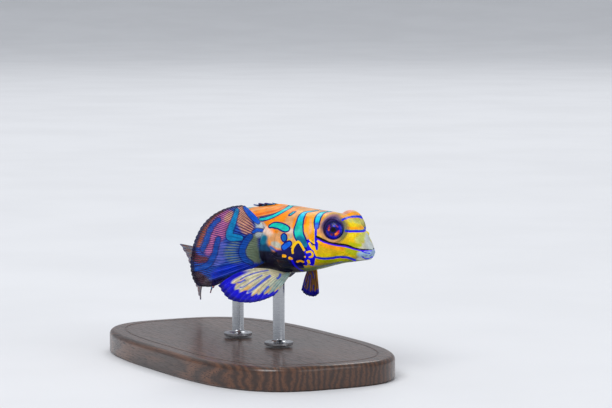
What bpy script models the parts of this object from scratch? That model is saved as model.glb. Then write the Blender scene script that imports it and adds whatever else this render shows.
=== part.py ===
"""Life-size display model of a mandarinfish on a plain stand.

The fish faces +X with its trunk over the stand, its right side towards -Y, and +Z up.
The origin is the centre of the underside of the stand's base.
The body is a loft of rounded sections along a curved axis. A place on it is given by the
distance behind the lips, the side (+1 right, -1 left) and the height above or below the axis.
"""

import math

import bmesh
import bpy
import numpy as np
from mathutils import Vector

MM = 0.001
RIGHT = 1.0
LEFT = -1.0

# Gap that touching pieces keep to each other
GAP = 0.3 * MM

# Lengths along the body's axis, measured back from the lips
STANDARD_LENGTH = 51.0 * MM
HEAD_LENGTH = 14.4 * MM
TRUNK_END = 36.0 * MM
SUPPORT_POINT = 26.0 * MM
AXIS_STEP = 0.25 * MM
AXIS_REACH = 70.0 * MM

# Height of the lips over the floor, and of the axis over the lips
LIP_HEIGHT = 18.8 * MM
AXIS_OVER_LIPS = 1.7 * MM

# Way the axis points: (distance behind the lips, degrees to the left, degrees nose up)
AXIS_TURNS = (
    (0.0 * MM, 29.0, 0.0),
    (8.0 * MM, 29.0, 0.0),
    (15.0 * MM, 19.0, 2.0),
    (23.0 * MM, 3.5, 7.0),
    (34.0 * MM, -9.0, 14.0),
    (44.0 * MM, -13.0, 17.0),
    (52.0 * MM, -14.0, 14.0),
    (70.0 * MM, -14.0, 12.0),
)

# Body sections: distance behind the lips, half width, top and bottom over the axis
BODY_SECTIONS = (
    (0.0 * MM, 0.85 * MM, -1.00 * MM, -2.15 * MM),
    (0.5 * MM, 1.55 * MM, -0.15 * MM, -2.45 * MM),
    (1.2 * MM, 2.00 * MM, 1.00 * MM, -2.65 * MM),
    (2.2 * MM, 2.50 * MM, 2.30 * MM, -2.85 * MM),
    (3.4 * MM, 2.95 * MM, 3.30 * MM, -3.05 * MM),
    (4.8 * MM, 3.45 * MM, 3.85 * MM, -3.30 * MM),
    (6.5 * MM, 4.15 * MM, 4.15 * MM, -3.75 * MM),
    (9.0 * MM, 5.05 * MM, 4.35 * MM, -4.45 * MM),
    (12.0 * MM, 5.35 * MM, 4.60 * MM, -5.05 * MM),
    (15.0 * MM, 5.25 * MM, 4.85 * MM, -5.25 * MM),
    (20.0 * MM, 5.00 * MM, 4.70 * MM, -4.95 * MM),
    (26.0 * MM, 4.40 * MM, 4.70 * MM, -4.35 * MM),
    (32.0 * MM, 3.60 * MM, 4.50 * MM, -3.75 * MM),
    (38.0 * MM, 2.65 * MM, 3.45 * MM, -3.10 * MM),
    (44.0 * MM, 1.95 * MM, 2.75 * MM, -2.55 * MM),
    (51.0 * MM, 1.25 * MM, 2.40 * MM, -2.40 * MM),
)
SECTION_POWER = 2.3
WIDEST_LEVEL = 0.45
BODY_SIDES = 44

# Gill cover raised on the rear of the cheek
GILL_COVER_FRONT = 8.6 * MM
GILL_COVER_REAR = 13.3 * MM
GILL_COVER_RISE = 0.30 * MM
GILL_COVER_ANGLES = (-58.0, 34.0)

# Eyes and their sockets: behind the lips, out from the middle, over the axis
EYE_CENTRE = (4.75 * MM, 2.80 * MM, 1.95 * MM)
EYE_RADIUS = 1.64 * MM
EYE_DEPTH_RATIO = 0.70
EYE_TURN_FORWARD = 16.0
EYE_TURN_UP = 12.0
ORBIT_CENTRE = (5.0 * MM, 2.30 * MM, 2.15 * MM)
ORBIT_RADII = (2.25 * MM, 1.15 * MM, 2.30 * MM)

# Fold of skin round each eye
EYE_FOLD_LIFT = 0.42 * MM
EYE_FOLD_RADIUS = 1.72 * MM
EYE_FOLD_THICKNESS = 0.24 * MM

# Lips, as rolls round the mouth
LIP_REACH = (2.3 * MM, 1.45 * MM)
UPPER_LIP = (0.10 * MM, -1.40 * MM, 0.48 * MM)
LOWER_LIP = (0.50 * MM, -2.15 * MM, 0.42 * MM)
LIP_DROOP = 0.55 * MM
MOUTH_LINE = 0.24 * MM

# Stand
BASE_SIZE = (58.0 * MM, 32.0 * MM, 3.6 * MM)
BASE_EDGE = 0.8 * MM
BASE_CORNER_POWER = 3.2
ROD_RADIUS = 0.9 * MM
ROD_FOOT = (2.2 * MM, 0.9 * MM)
ROD_PAD = (1.3 * MM, 0.6 * MM)
ROD_PLACES = {"stand_rod_front": 17.5 * MM, "stand_rod_rear": 30.5 * MM}

# Rays of the pectoral fan: place across it from the top, degrees upwards, length
PECTORAL_RAYS = (
    (0.00, 62.0, 3.6 * MM),
    (0.15, 42.0, 5.6 * MM),
    (0.30, 26.0, 7.4 * MM),
    (0.45, 13.0, 8.6 * MM),
    (0.60, 1.0, 9.2 * MM),
    (0.75, -11.0, 9.6 * MM),
    (0.90, -22.0, 9.2 * MM),
    (1.00, -28.0, 6.9 * MM),
)

# Pelvic fins: middle and length of the root, then for each fin where the tips of its rays lie
# from their roots: (place across the fin, ahead, outward, upward); the sags, in the same order
# of ways, bow the front and the rear ray between root and tip
PELVIC_PLACE = 13.2 * MM
PELVIC_ROOT = 2.0 * MM
PELVIC_RIGHT_TIPS = (
    (0.00, -0.7 * MM, 3.0 * MM, -3.2 * MM),
    (0.25, -1.5 * MM, 4.5 * MM, -3.8 * MM),
    (0.50, -2.4 * MM, 5.7 * MM, -3.8 * MM),
    (0.75, -3.7 * MM, 7.1 * MM, -3.4 * MM),
    (1.00, -4.6 * MM, 7.5 * MM, -2.5 * MM),
)
PELVIC_LEFT_TIPS = (
    (0.00, -0.6 * MM, 1.3 * MM, -3.8 * MM),
    (0.25, -1.4 * MM, 1.8 * MM, -4.4 * MM),
    (0.50, -2.3 * MM, 2.1 * MM, -4.5 * MM),
    (0.75, -3.1 * MM, 2.3 * MM, -4.3 * MM),
    (1.00, -3.5 * MM, 2.4 * MM, -3.8 * MM),
)
PELVIC_RIGHT_SAGS = ((-1.2 * MM, 0.6 * MM, -0.8 * MM), (0.6 * MM, -0.6 * MM, -3.0 * MM))
PELVIC_LEFT_SAGS = ((-0.4 * MM, 0.2 * MM, 0.0 * MM), (0.2 * MM, -0.2 * MM, -1.0 * MM))

# Fin thickness, on a ray and on the membrane between rays, at the root and at the tip
RAY_THICKNESS = (0.78 * MM, 0.50 * MM)
MEMBRANE_THICKNESS = (0.56 * MM, 0.36 * MM)


def clear_scene():
    """Remove the objects that the scene starts with."""
    for item in list(bpy.data.objects):
        bpy.data.objects.remove(item, do_unlink=True)


def smooth_value(rows, column, position):
    """Value of one column of a table at a position, on a smooth curve through its rows."""
    places = [row[0] for row in rows]
    values = [row[column] for row in rows]
    position = min(max(position, places[0]), places[-1])
    index = int(np.searchsorted(places, position, side="right")) - 1
    index = min(max(index, 0), len(rows) - 2)

    def slope(at):
        before = max(at - 1, 0)
        after = min(at + 1, len(rows) - 1)
        return (values[after] - values[before]) / (places[after] - places[before])

    span = places[index + 1] - places[index]
    part = (position - places[index]) / span
    start_weight = 2 * part**3 - 3 * part**2 + 1
    end_weight = 1 - start_weight
    start_slope = (part**3 - 2 * part**2 + part) * span
    end_slope = (part**3 - part**2) * span
    return (
        start_weight * values[index]
        + end_weight * values[index + 1]
        + start_slope * slope(index)
        + end_slope * slope(index + 1)
    )


def blend(low, high, value):
    """0 below low, 1 above high, and smooth between them."""
    part = min(max((value - low) / (high - low), 0.0), 1.0)
    return part * part * (3 - 2 * part)


def forward_at(distance):
    """Direction the axis points to, towards the head, at a distance behind the lips."""
    turn = math.radians(smooth_value(AXIS_TURNS, 1, distance))
    pitch = math.radians(smooth_value(AXIS_TURNS, 2, distance))
    level = math.cos(pitch)
    return Vector((level * math.cos(turn), level * math.sin(turn), math.sin(pitch)))


def trace_axis():
    """Points of the axis every AXIS_STEP behind the lips, with the support point over the origin."""
    points = [Vector((0.0, 0.0, 0.0))]
    for index in range(round(AXIS_REACH / AXIS_STEP)):
        middle = (index + 0.5) * AXIS_STEP
        points.append(points[-1] - forward_at(middle) * AXIS_STEP)
    support = points[round(SUPPORT_POINT / AXIS_STEP)]
    shift = Vector((-support.x, -support.y, LIP_HEIGHT + AXIS_OVER_LIPS))
    return [point + shift for point in points]


AXIS_POINTS = trace_axis()


def axis_frame(distance):
    """Point of the axis and its forward, right and up directions there."""
    place = min(max(distance / AXIS_STEP, 0.0), len(AXIS_POINTS) - 1.001)
    index = int(place)
    point = AXIS_POINTS[index].lerp(AXIS_POINTS[index + 1], place - index)
    point = point + forward_at(0.0) * max(-distance, 0.0)
    forward = forward_at(distance)
    right = forward.cross(Vector((0.0, 0.0, 1.0))).normalized()
    return point, forward, right, right.cross(forward)


def place_at(distance, out, up, side=RIGHT):
    """World point at a distance behind the lips, out to one side and over the axis."""
    point, _, right, upward = axis_frame(distance)
    return point + right * (out * side) + upward * up


def direction_at(distance, ahead, out, up, side=RIGHT):
    """World direction from its parts ahead, out to one side and up."""
    _, forward, right, upward = axis_frame(distance)
    return (forward * ahead + right * (out * side) + upward * up).normalized()


def gill_cover_rise(distance, degrees):
    """Height of the gill cover over the body at an angle round it, 0 at the side, 90 on top."""
    along = blend(GILL_COVER_FRONT, GILL_COVER_FRONT + 2.4 * MM, distance)
    along *= 1 - blend(GILL_COVER_REAR - 0.4 * MM, GILL_COVER_REAR, distance)
    low, high = GILL_COVER_ANGLES
    across = blend(low, low + 18.0, degrees) * (1 - blend(high - 14.0, high, degrees))
    return GILL_COVER_RISE * along * across


def surface_point(distance, degrees, side=RIGHT, lift=0.0):
    """Point on the body's surface at an angle round it, or lifted off it."""
    width = smooth_value(BODY_SECTIONS, 1, distance)
    top = smooth_value(BODY_SECTIONS, 2, distance)
    bottom = smooth_value(BODY_SECTIONS, 3, distance)
    middle = bottom + WIDEST_LEVEL * (top - bottom)
    angle = math.radians(degrees)
    power = 2 / SECTION_POWER
    cosine = math.copysign(abs(math.cos(angle)) ** power, math.cos(angle))
    sine = math.copysign(abs(math.sin(angle)) ** power, math.sin(angle))
    reach = top - middle if sine > 0 else middle - bottom
    rise = lift + gill_cover_rise(distance, degrees)
    out = width * cosine + rise * math.cos(angle)
    up = middle + reach * sine + rise * math.sin(angle)
    return place_at(distance, out, up, side)


def object_from(name, points, faces):
    """Closed mesh object with its faces pointing out."""
    mesh = bpy.data.meshes.new(name)
    mesh.from_pydata([tuple(point) for point in points], [], faces)
    shell = bmesh.new()
    shell.from_mesh(mesh)
    bmesh.ops.recalc_face_normals(shell, faces=shell.faces[:])
    if shell.calc_volume(signed=True) < 0:
        bmesh.ops.reverse_faces(shell, faces=shell.faces[:])
    shell.to_mesh(mesh)
    shell.free()
    item = bpy.data.objects.new(name, mesh)
    bpy.context.scene.collection.objects.link(item)
    return item


def rings_to_object(name, rings, joined=False):
    """Solid through rings of as many points each, closed at both ends or joined end to end."""
    sides = len(rings[0])
    points = [point for ring in rings for point in ring]
    faces = []
    for row in range(len(rings) if joined else len(rings) - 1):
        for side in range(sides):
            after = (side + 1) % sides
            low = row * sides
            high = (row + 1) % len(rings) * sides
            faces.append((low + side, low + after, high + after))
            faces.append((low + side, high + after, high + side))
    for row in () if joined else (0, len(rings) - 1):
        centre = sum(rings[row], Vector((0.0, 0.0, 0.0))) / sides
        points.append(centre)
        hub = len(points) - 1
        for side in range(sides):
            faces.append((row * sides + side, row * sides + (side + 1) % sides, hub))
    return object_from(name, points, faces)


def body_length(name, start, end, step):
    """Length of the body between two distances behind the lips."""
    count = max(round((end - start) / step), 1)
    rings = []
    for index in range(count + 1):
        distance = start + (end - start) * index / count
        ring = []
        for corner in range(BODY_SIDES):
            degrees = 360.0 * corner / BODY_SIDES
            if degrees <= 90.0 or degrees > 270.0:
                angle = degrees if degrees <= 90.0 else degrees - 360.0
                ring.append(surface_point(distance, angle, RIGHT))
            else:
                ring.append(surface_point(distance, 180.0 - degrees, LEFT))
        rings.append(ring)
    return rings_to_object(name, rings)


def ellipsoid(name, centre, radii, axes, segments=24, rows=14):
    """Ellipsoid with its three radii along the three axes given."""
    rings = []
    for row in range(1, rows):
        polar = math.pi * row / rows
        ring = []
        for corner in range(segments):
            round_angle = 2 * math.pi * corner / segments
            offset = (
                axes[0] * (radii[0] * math.sin(polar) * math.cos(round_angle))
                + axes[1] * (radii[1] * math.sin(polar) * math.sin(round_angle))
                + axes[2] * (radii[2] * math.cos(polar))
            )
            ring.append(centre + offset)
        rings.append(ring)
    points = [point for ring in rings for point in ring]
    faces = []
    for row in range(len(rings) - 1):
        for corner in range(segments):
            after = (corner + 1) % segments
            low = row * segments
            high = low + segments
            faces.append((low + corner, low + after, high + after, high + corner))
    for row, polar in ((0, 1.0), (len(rings) - 1, -1.0)):
        points.append(centre + axes[2] * (radii[2] * polar))
        hub = len(points) - 1
        for corner in range(segments):
            after = (corner + 1) % segments
            faces.append((row * segments + corner, row * segments + after, hub))
    return object_from(name, points, faces)


def tube(name, path, radii, sides=10):
    """Tapered tube along a path of points, closed at both ends."""
    rings = []
    for index, point in enumerate(path):
        before = path[max(index - 1, 0)]
        after = path[min(index + 1, len(path) - 1)]
        along = (after - before).normalized()
        first = along.orthogonal().normalized() if index == 0 else first
        first = (first - along * first.dot(along)).normalized()
        second = along.cross(first)
        ring = []
        for side in range(sides):
            angle = 2 * math.pi * side / sides
            spoke = first * math.cos(angle) + second * math.sin(angle)
            ring.append(point + spoke * radii[index])
        rings.append(ring)
    return rings_to_object(name, rings)


def keep_largest(item):
    """Leave only the largest closed surface of an object's mesh."""
    shell = bmesh.new()
    shell.from_mesh(item.data)
    waiting = set(shell.faces)
    groups = []
    while waiting:
        first = waiting.pop()
        group = [first]
        for face in group:
            for edge in face.edges:
                for other in edge.link_faces:
                    if other in waiting:
                        waiting.remove(other)
                        group.append(other)
        groups.append(group)
    groups.sort(key=lambda group: sum(face.calc_area() for face in group))
    spare = [face for group in groups[:-1] for face in group]
    if spare:
        bmesh.ops.delete(shell, geom=spare, context="FACES")
    shell.to_mesh(item.data)
    shell.free()


def apply_boolean(item, others, operation):
    """Join closed pieces to an object, or cut them from it, and remove them."""
    group = bpy.data.collections.new("pieces")
    bpy.context.scene.collection.children.link(group)
    for other in others:
        group.objects.link(other)
    step = item.modifiers.new("step", "BOOLEAN")
    step.operation = operation
    step.solver = "EXACT"
    step.operand_type = "COLLECTION"
    step.collection = group
    depsgraph = bpy.context.evaluated_depsgraph_get()
    joined = bpy.data.meshes.new_from_object(item.evaluated_get(depsgraph))
    item.modifiers.clear()
    item.data = joined
    for other in others:
        bpy.data.objects.remove(other, do_unlink=True)
    bpy.data.collections.remove(group)
    keep_largest(item)


def eye_axes(side):
    """Sideways, upward and outward directions of an eye."""
    ahead = math.sin(math.radians(EYE_TURN_FORWARD))
    up = math.sin(math.radians(EYE_TURN_UP))
    outward = direction_at(EYE_CENTRE[0], ahead, 1.0, up, side)
    sideways = outward.cross(Vector((0.0, 0.0, 1.0))).normalized()
    return sideways, sideways.cross(outward), outward


def eye_ball(name, side, radius):
    """Eyeball, a little flatter along the way it looks."""
    centre = place_at(*EYE_CENTRE, side)
    radii = (radius, radius, radius * EYE_DEPTH_RATIO)
    return ellipsoid(name, centre, radii, eye_axes(side))


def orbit(side):
    """Swelling of the head round an eye."""
    centre = place_at(*ORBIT_CENTRE, side)
    _, forward, right, upward = axis_frame(ORBIT_CENTRE[0])
    return ellipsoid("orbit", centre, ORBIT_RADII, (forward, right, upward))


def eye_fold(side):
    """Raised ring of skin round an eye."""
    sideways, upward, outward = eye_axes(side)
    middle = place_at(*EYE_CENTRE, side) + outward * EYE_FOLD_LIFT
    rings = []
    for turn in range(28):
        angle = 2 * math.pi * turn / 28
        spoke = sideways * math.cos(angle) + upward * math.sin(angle)
        ring = []
        for side_turn in range(8):
            tilt = 2 * math.pi * side_turn / 8
            offset = spoke * math.cos(tilt) + outward * math.sin(tilt)
            ring.append(middle + spoke * EYE_FOLD_RADIUS + offset * EYE_FOLD_THICKNESS)
        rings.append(ring)
    return rings_to_object("eye_fold", rings, joined=True)


def lip(name, sizes):
    """Roll of one lip, round the front of the mouth and tapering to its corners."""
    start, level, radius = sizes
    length, half_width = LIP_REACH
    path = []
    radii = []
    for index in range(17):
        angle = math.radians(-90.0 + 180.0 * index / 16)
        distance = start + length * (1 - math.cos(angle))
        out = half_width * math.sin(angle)
        up = level - LIP_DROOP * (1 - math.cos(angle))
        path.append(place_at(distance, out, up))
        radii.append(radius * (0.45 + 0.55 * math.cos(angle)))
    return tube(name, path, radii)


def mouth_slit():
    """Thin curved wedge that parts the lips."""
    rings = []
    length, half_width = LIP_REACH
    for index in range(13):
        angle = math.radians(-80.0 + 160.0 * index / 12)
        level = 0.5 * (UPPER_LIP[1] + LOWER_LIP[1]) - LIP_DROOP * (1 - math.cos(angle))
        out = half_width * math.sin(angle)
        start = length * (1 - math.cos(angle))
        spread = 1.0 + abs(math.sin(angle))
        ring = []
        for distance, up in (
            (start - 1.2 * MM, 0.5 * MOUTH_LINE),
            (start + 0.55 * MM, 0.2 * MOUTH_LINE),
            (start + 0.55 * MM, -0.2 * MOUTH_LINE),
            (start - 1.2 * MM, -0.5 * MOUTH_LINE),
        ):
            reach = spread if distance < start else 1.0
            ring.append(place_at(distance, out * reach, level + up))
        rings.append(ring)
    return rings_to_object("mouth_slit", rings)


def nostril(side, hollow):
    """Short nostril tube in front of an eye, or the hole down it."""
    foot = surface_point(1.9 * MM, 42.0, side, -0.15 * MM)
    tip = surface_point(1.75 * MM, 42.0, side, 0.22 * MM)
    if hollow:
        reach = tip + (tip - foot) * 0.3
        start = foot + (tip - foot) * 0.25
        return tube("nostril_hole", [start, reach], [0.11 * MM, 0.14 * MM], 8)
    return tube("nostril", [foot, tip], [0.34 * MM, 0.26 * MM], 8)


def cheek_spine(side):
    """Hooked spine at the rear corner of the cheek."""
    path = []
    radii = []
    for index in range(6):
        part = index / 5
        path.append(
            surface_point(
                (10.8 + 3.0 * part) * MM, -22.0 + 10.0 * part * part, side, (-0.25 + 0.85 * part) * MM
            )
        )
        radii.append((0.42 - 0.28 * part) * MM)
    return tube("cheek_spine", path, radii, 8)


def gill_opening(side):
    """Small slot behind the gill cover, high on the side."""
    path = [surface_point(13.6 * MM, degrees, side, 0.10 * MM) for degrees in (12.0, 20.0, 28.0)]
    return tube("gill_opening", path, [0.20 * MM, 0.26 * MM, 0.20 * MM], 8)


def make_head():
    """Head with orbits, lips, nostrils, cheek spines, gill slots and eye sockets."""
    head = body_length("head", 0.0, HEAD_LENGTH, 0.5 * MM)
    pieces = [lip("upper_lip", UPPER_LIP), lip("lower_lip", LOWER_LIP)]
    for side in (RIGHT, LEFT):
        pieces += [orbit(side), eye_fold(side), nostril(side, False), cheek_spine(side)]
    apply_boolean(head, pieces, "UNION")
    cutters = [mouth_slit()]
    for side in (RIGHT, LEFT):
        cutters.append(eye_ball("socket", side, EYE_RADIUS + GAP))
        cutters += [nostril(side, True), gill_opening(side)]
    apply_boolean(head, cutters, "DIFFERENCE")
    return head


def fin(name, rays, rows, root, direction, length, bend, notch):
    """Fin as one thin closed sheet with its rays raised in both faces.

    root, direction, length and bend are functions of the place across the fin, 0 to 1. The
    membrane between two rays stops short of their tips by the share notch.
    """
    columns = 2 * rays - 1
    centres = []
    halves = []
    for column in range(columns):
        across = column / (columns - 1)
        on_ray = column % 2 == 0
        reach = length(across) * (1.0 if on_ray else 1.0 - notch)
        thick = RAY_THICKNESS if on_ray else MEMBRANE_THICKNESS
        line = []
        for row in range(rows + 1):
            part = row / rows
            line.append(root(across) + direction(across) * (reach * part) + bend(across) * part**2)
        centres.append(line)
        halves.append([0.5 * (thick[0] + (thick[1] - thick[0]) * row / rows) for row in range(rows + 1)])
    points = []
    for column in range(columns):
        for row in range(rows + 1):
            before = centres[max(column - 1, 0)][row]
            after = centres[min(column + 1, columns - 1)][row]
            inner = centres[column][max(row - 1, 0)]
            outer = centres[column][min(row + 1, rows)]
            normal = (after - before).cross(outer - inner).normalized()
            centre = centres[column][row]
            half = halves[column][row]
            points += [centre + normal * half, centre - normal * half]

    def corner(column, row, face):
        return 2 * (column * (rows + 1) + row) + face

    faces = []
    for column in range(columns - 1):
        for row in range(rows):
            for face in (0, 1):
                a = corner(column, row, face)
                b = corner(column + 1, row, face)
                c = corner(column + 1, row + 1, face)
                d = corner(column, row + 1, face)
                if column % 2 == 0:
                    triangles = [(a, b, c), (a, c, d)]
                else:
                    triangles = [(a, b, d), (b, c, d)]
                faces += triangles if face == 0 else [triangle[::-1] for triangle in triangles]
    border = [(column, 0) for column in range(columns)]
    border += [(columns - 1, row) for row in range(1, rows + 1)]
    border += [(column, rows) for column in range(columns - 2, -1, -1)]
    border += [(0, row) for row in range(rows - 1, 0, -1)]
    for index, place in enumerate(border):
        following = border[(index + 1) % len(border)]
        a = corner(*place, 0)
        b = corner(*following, 0)
        c = corner(*following, 1)
        d = corner(*place, 1)
        faces += [(a, c, b), (a, d, c)]
    return object_from(name, points, faces)


def mix(low, high, part):
    """Value between two numbers or vectors."""
    return low + (high - low) * part


def arch(ends, middle, across):
    """Length that is largest at the middle of a fin and shorter at its two edges."""
    edge = mix(ends[0], ends[1], across)
    return edge + (middle - edge) * math.sin(math.pi * across) ** 0.8


def pectoral_fin(name, side, outward, ahead, spread, tilt):
    """Fan on the flank, its rays spread from near upright at the top to slanting down."""
    root_place = 15.1 * MM

    def root(across):
        return surface_point(root_place + 0.9 * MM * across, 24.0 - 56.0 * across, side, GAP + 0.1 * MM)

    def direction(across):
        angle = math.radians(smooth_value(PECTORAL_RAYS, 1, across) * spread + tilt)
        level = math.cos(angle)
        return direction_at(root_place, ahead * level, outward * level, math.sin(angle), side)

    def length(across):
        return smooth_value(PECTORAL_RAYS, 2, across)

    def bend(across):
        return direction_at(root_place, -1.0, 0.2, 0.0, side) * (1.3 * MM)

    return fin(name, 15, 8, root, direction, length, bend, 0.02)


def pelvic_fin(name, side, tips, sags):
    """Fan under the throat, from a short front ray to a long rear ray."""

    def root(across):
        place = PELVIC_PLACE + (across - 0.5) * PELVIC_ROOT
        return surface_point(place, -60.0 + 5.0 * across, side, GAP + 0.12 * MM)

    def sag(across):
        return Vector(sags[0]).lerp(Vector(sags[1]), across)

    def reach(across):
        tip = Vector([smooth_value(tips, column, across) for column in (1, 2, 3)])
        return tip - sag(across)

    def direction(across):
        return direction_at(PELVIC_PLACE, *reach(across), side)

    def length(across):
        return reach(across).length

    def bend(across):
        return direction_at(PELVIC_PLACE, *sag(across), side) * sag(across).length

    return fin(name, 7, 6, root, direction, length, bend, 0.05)


def median_fin(name, rays, rows, reach, top, slants, lengths, notch):
    """Fin on the middle line of the back or belly, its rays leaning back."""
    start, end = reach
    degrees = 90.0 if top else -90.0
    upward = 1.0 if top else -1.0

    def root(across):
        return surface_point(mix(start, end, across), degrees, RIGHT, GAP + 0.05 * MM)

    def direction(across):
        slant = math.radians(mix(slants[0], slants[1], across))
        return direction_at(mix(start, end, across), -math.cos(slant), 0.0, upward * math.sin(slant))

    def length(across):
        return mix(lengths[0], lengths[1], across)

    def bend(across):
        return direction_at(end, 0.0, 1.0, 0.0) * (0.25 * MM * math.sin(3.0 * across))

    return fin(name, rays, rows, root, direction, length, bend, notch)


def caudal_fin():
    """Rounded tail fin."""
    half_root = 2.15 * MM
    start = STANDARD_LENGTH + GAP

    def root(across):
        return place_at(start, 0.0, mix(half_root, -half_root, across))

    def direction(across):
        angle = math.radians(mix(13.0, -17.0, across))
        return direction_at(start, -math.cos(angle), 0.0, math.sin(angle))

    def length(across):
        return arch((12.0 * MM, 9.5 * MM), 13.6 * MM, across)

    def bend(across):
        fold = 1.3 * MM * math.sin(math.pi * across) ** 0.7
        return direction_at(start, 0.0, 1.0, 0.0) * (mix(1.6 * MM, -0.9 * MM, across) - fold)

    return fin("caudal_fin", 11, 8, root, direction, length, bend, 0.04)


def lathe(name, centre, profile, segments):
    """Turned solid from pairs of radius and height."""
    rings = []
    for radius, height in profile:
        ring = []
        for segment in range(segments):
            angle = 2 * math.pi * segment / segments
            spoke = Vector((radius * math.cos(angle), radius * math.sin(angle), height))
            ring.append(centre + spoke)
        rings.append(ring)
    return rings_to_object(name, rings)


def stand_base():
    """Flat oval base with an eased top edge."""
    half_length, half_width, height = BASE_SIZE[0] / 2, BASE_SIZE[1] / 2, BASE_SIZE[2]
    power = 2 / BASE_CORNER_POWER
    rings = []
    for inset, level in (
        (0.3 * MM, 0.0),
        (0.0, 0.3 * MM),
        (0.0, height - BASE_EDGE),
        (0.3 * BASE_EDGE, height - 0.3 * BASE_EDGE),
        (BASE_EDGE, height),
    ):
        ring = []
        for segment in range(64):
            angle = 2 * math.pi * segment / 64
            cosine = math.copysign(abs(math.cos(angle)) ** power, math.cos(angle))
            sine = math.copysign(abs(math.sin(angle)) ** power, math.sin(angle))
            ring.append(Vector(((half_length - inset) * cosine, (half_width - inset) * sine, level)))
        rings.append(ring)
    return rings_to_object("stand_base", rings)


def stand_rod(name, distance):
    """Rod from the base up to the belly, with a foot and a small pad."""
    belly = surface_point(distance, -90.0)
    low = BASE_SIZE[2] + GAP
    high = belly.z - GAP - 0.25 * MM
    foot_radius, foot_height = ROD_FOOT
    pad_radius, pad_height = ROD_PAD
    profile = (
        (foot_radius, low),
        (foot_radius, low + 0.6 * foot_height),
        (ROD_RADIUS, low + foot_height),
        (ROD_RADIUS, high - 2 * pad_height),
        (pad_radius, high - pad_height),
        (pad_radius, high),
    )
    return lathe(name, Vector((belly.x, belly.y, 0.0)), profile, 20)


def make_material(name, colour, roughness, metallic=0.0):
    """Principled material with a colour, roughness and metallic value."""
    material = bpy.data.materials.new(name)
    material.use_nodes = True
    shader = material.node_tree.nodes["Principled BSDF"]
    shader.inputs["Base Color"].default_value = (*colour, 1.0)
    shader.inputs["Roughness"].default_value = roughness
    shader.inputs["Metallic"].default_value = metallic
    material.diffuse_color = (*colour, 1.0)
    return material


COLOURS = {
    "head": (0.85, 0.55, 0.05),
    "trunk": (0.85, 0.35, 0.12),
    "tail": (0.75, 0.32, 0.14),
    "eye": (0.03, 0.03, 0.25),
    "pectoral_fin": (0.10, 0.35, 0.60),
    "pelvic_fin": (0.75, 0.68, 0.35),
    "dorsal_fin": (0.10, 0.25, 0.50),
    "anal_fin": (0.15, 0.20, 0.55),
    "caudal_fin": (0.40, 0.30, 0.35),
    "stand_base": (0.10, 0.06, 0.04),
    "stand_rod": (0.60, 0.60, 0.62),
}


def finish(item):
    """Smooth shading with kept creases, and the material that the object's name calls for."""
    item.data.shade_smooth()
    item.data.set_sharp_from_angle(angle=math.radians(40.0))
    for key, colour in COLOURS.items():
        if item.name.startswith(key):
            metallic = 1.0 if key == "stand_rod" else 0.0
            item.data.materials.clear()
            item.data.materials.append(make_material(item.name, colour, 0.4, metallic))


def make_fins():
    """All fins, root and all clear of the body by the gap."""
    pectoral_fin("pectoral_fin_right", RIGHT, 0.76, -0.64, 1.0, 0.0)
    pectoral_fin("pectoral_fin_left", LEFT, 0.45, -0.90, 0.7, -10.0)
    pelvic_fin("pelvic_fin_right", RIGHT, PELVIC_RIGHT_TIPS, PELVIC_RIGHT_SAGS)
    pelvic_fin("pelvic_fin_left", LEFT, PELVIC_LEFT_TIPS, PELVIC_LEFT_SAGS)
    median_fin(
        "dorsal_fin_first", 4, 5, (17.4 * MM, 21.2 * MM), True, (10.0, 10.0), (4.4 * MM, 3.0 * MM), 0.25
    )
    median_fin(
        "dorsal_fin_second", 9, 5, (27.0 * MM, 41.5 * MM), True, (7.0, 25.0), (4.2 * MM, 5.4 * MM), 0.10
    )
    median_fin("anal_fin", 8, 5, (33.5 * MM, 44.0 * MM), False, (24.0, 36.0), (3.6 * MM, 5.2 * MM), 0.12)
    caudal_fin()


def main():
    """Build every piece of the fish and its stand."""
    clear_scene()
    make_head()
    body_length("trunk", HEAD_LENGTH + GAP, TRUNK_END, 1.5 * MM)
    body_length("tail", TRUNK_END + GAP, STANDARD_LENGTH, 1.5 * MM)
    eye_ball("eye_right", RIGHT, EYE_RADIUS)
    eye_ball("eye_left", LEFT, EYE_RADIUS)
    make_fins()
    stand_base()
    for name, distance in ROD_PLACES.items():
        stand_rod(name, distance)
    for item in bpy.data.objects:
        finish(item)


main()
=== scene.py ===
import math

import bpy
import numpy as np
from mathutils import Matrix, Vector
from mathutils.bvhtree import BVHTree


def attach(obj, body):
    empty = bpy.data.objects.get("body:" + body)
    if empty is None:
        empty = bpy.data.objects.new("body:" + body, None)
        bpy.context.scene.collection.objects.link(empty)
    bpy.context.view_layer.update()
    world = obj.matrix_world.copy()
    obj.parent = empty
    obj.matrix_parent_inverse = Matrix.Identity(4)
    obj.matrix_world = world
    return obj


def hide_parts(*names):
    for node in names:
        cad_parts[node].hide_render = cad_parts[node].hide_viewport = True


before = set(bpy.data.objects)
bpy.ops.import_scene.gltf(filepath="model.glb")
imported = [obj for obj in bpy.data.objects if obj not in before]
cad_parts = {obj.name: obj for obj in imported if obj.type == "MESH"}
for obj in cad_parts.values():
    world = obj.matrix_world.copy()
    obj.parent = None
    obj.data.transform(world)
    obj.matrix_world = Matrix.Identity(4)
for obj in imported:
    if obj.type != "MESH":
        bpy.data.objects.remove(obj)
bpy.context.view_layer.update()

# The fish faces +X, its right side towards -Y. A place on its body is given by the distance
# behind the lips, the side (+1 right, -1 left) and the height over the axis, or by the
# degrees round the body, 0 at the side and 90 on top.

MM = 0.001
RIGHT = 1.0
LEFT = -1.0

# Photograph: size in pixels, size of a pixel at the head, and the pixel of the near eye
PHOTO_WIDTH = 612.0
PHOTO_HEIGHT = 408.0
PIXEL = 0.147 * MM
EYE_PIXEL = (331.1, 230.0)

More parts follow.
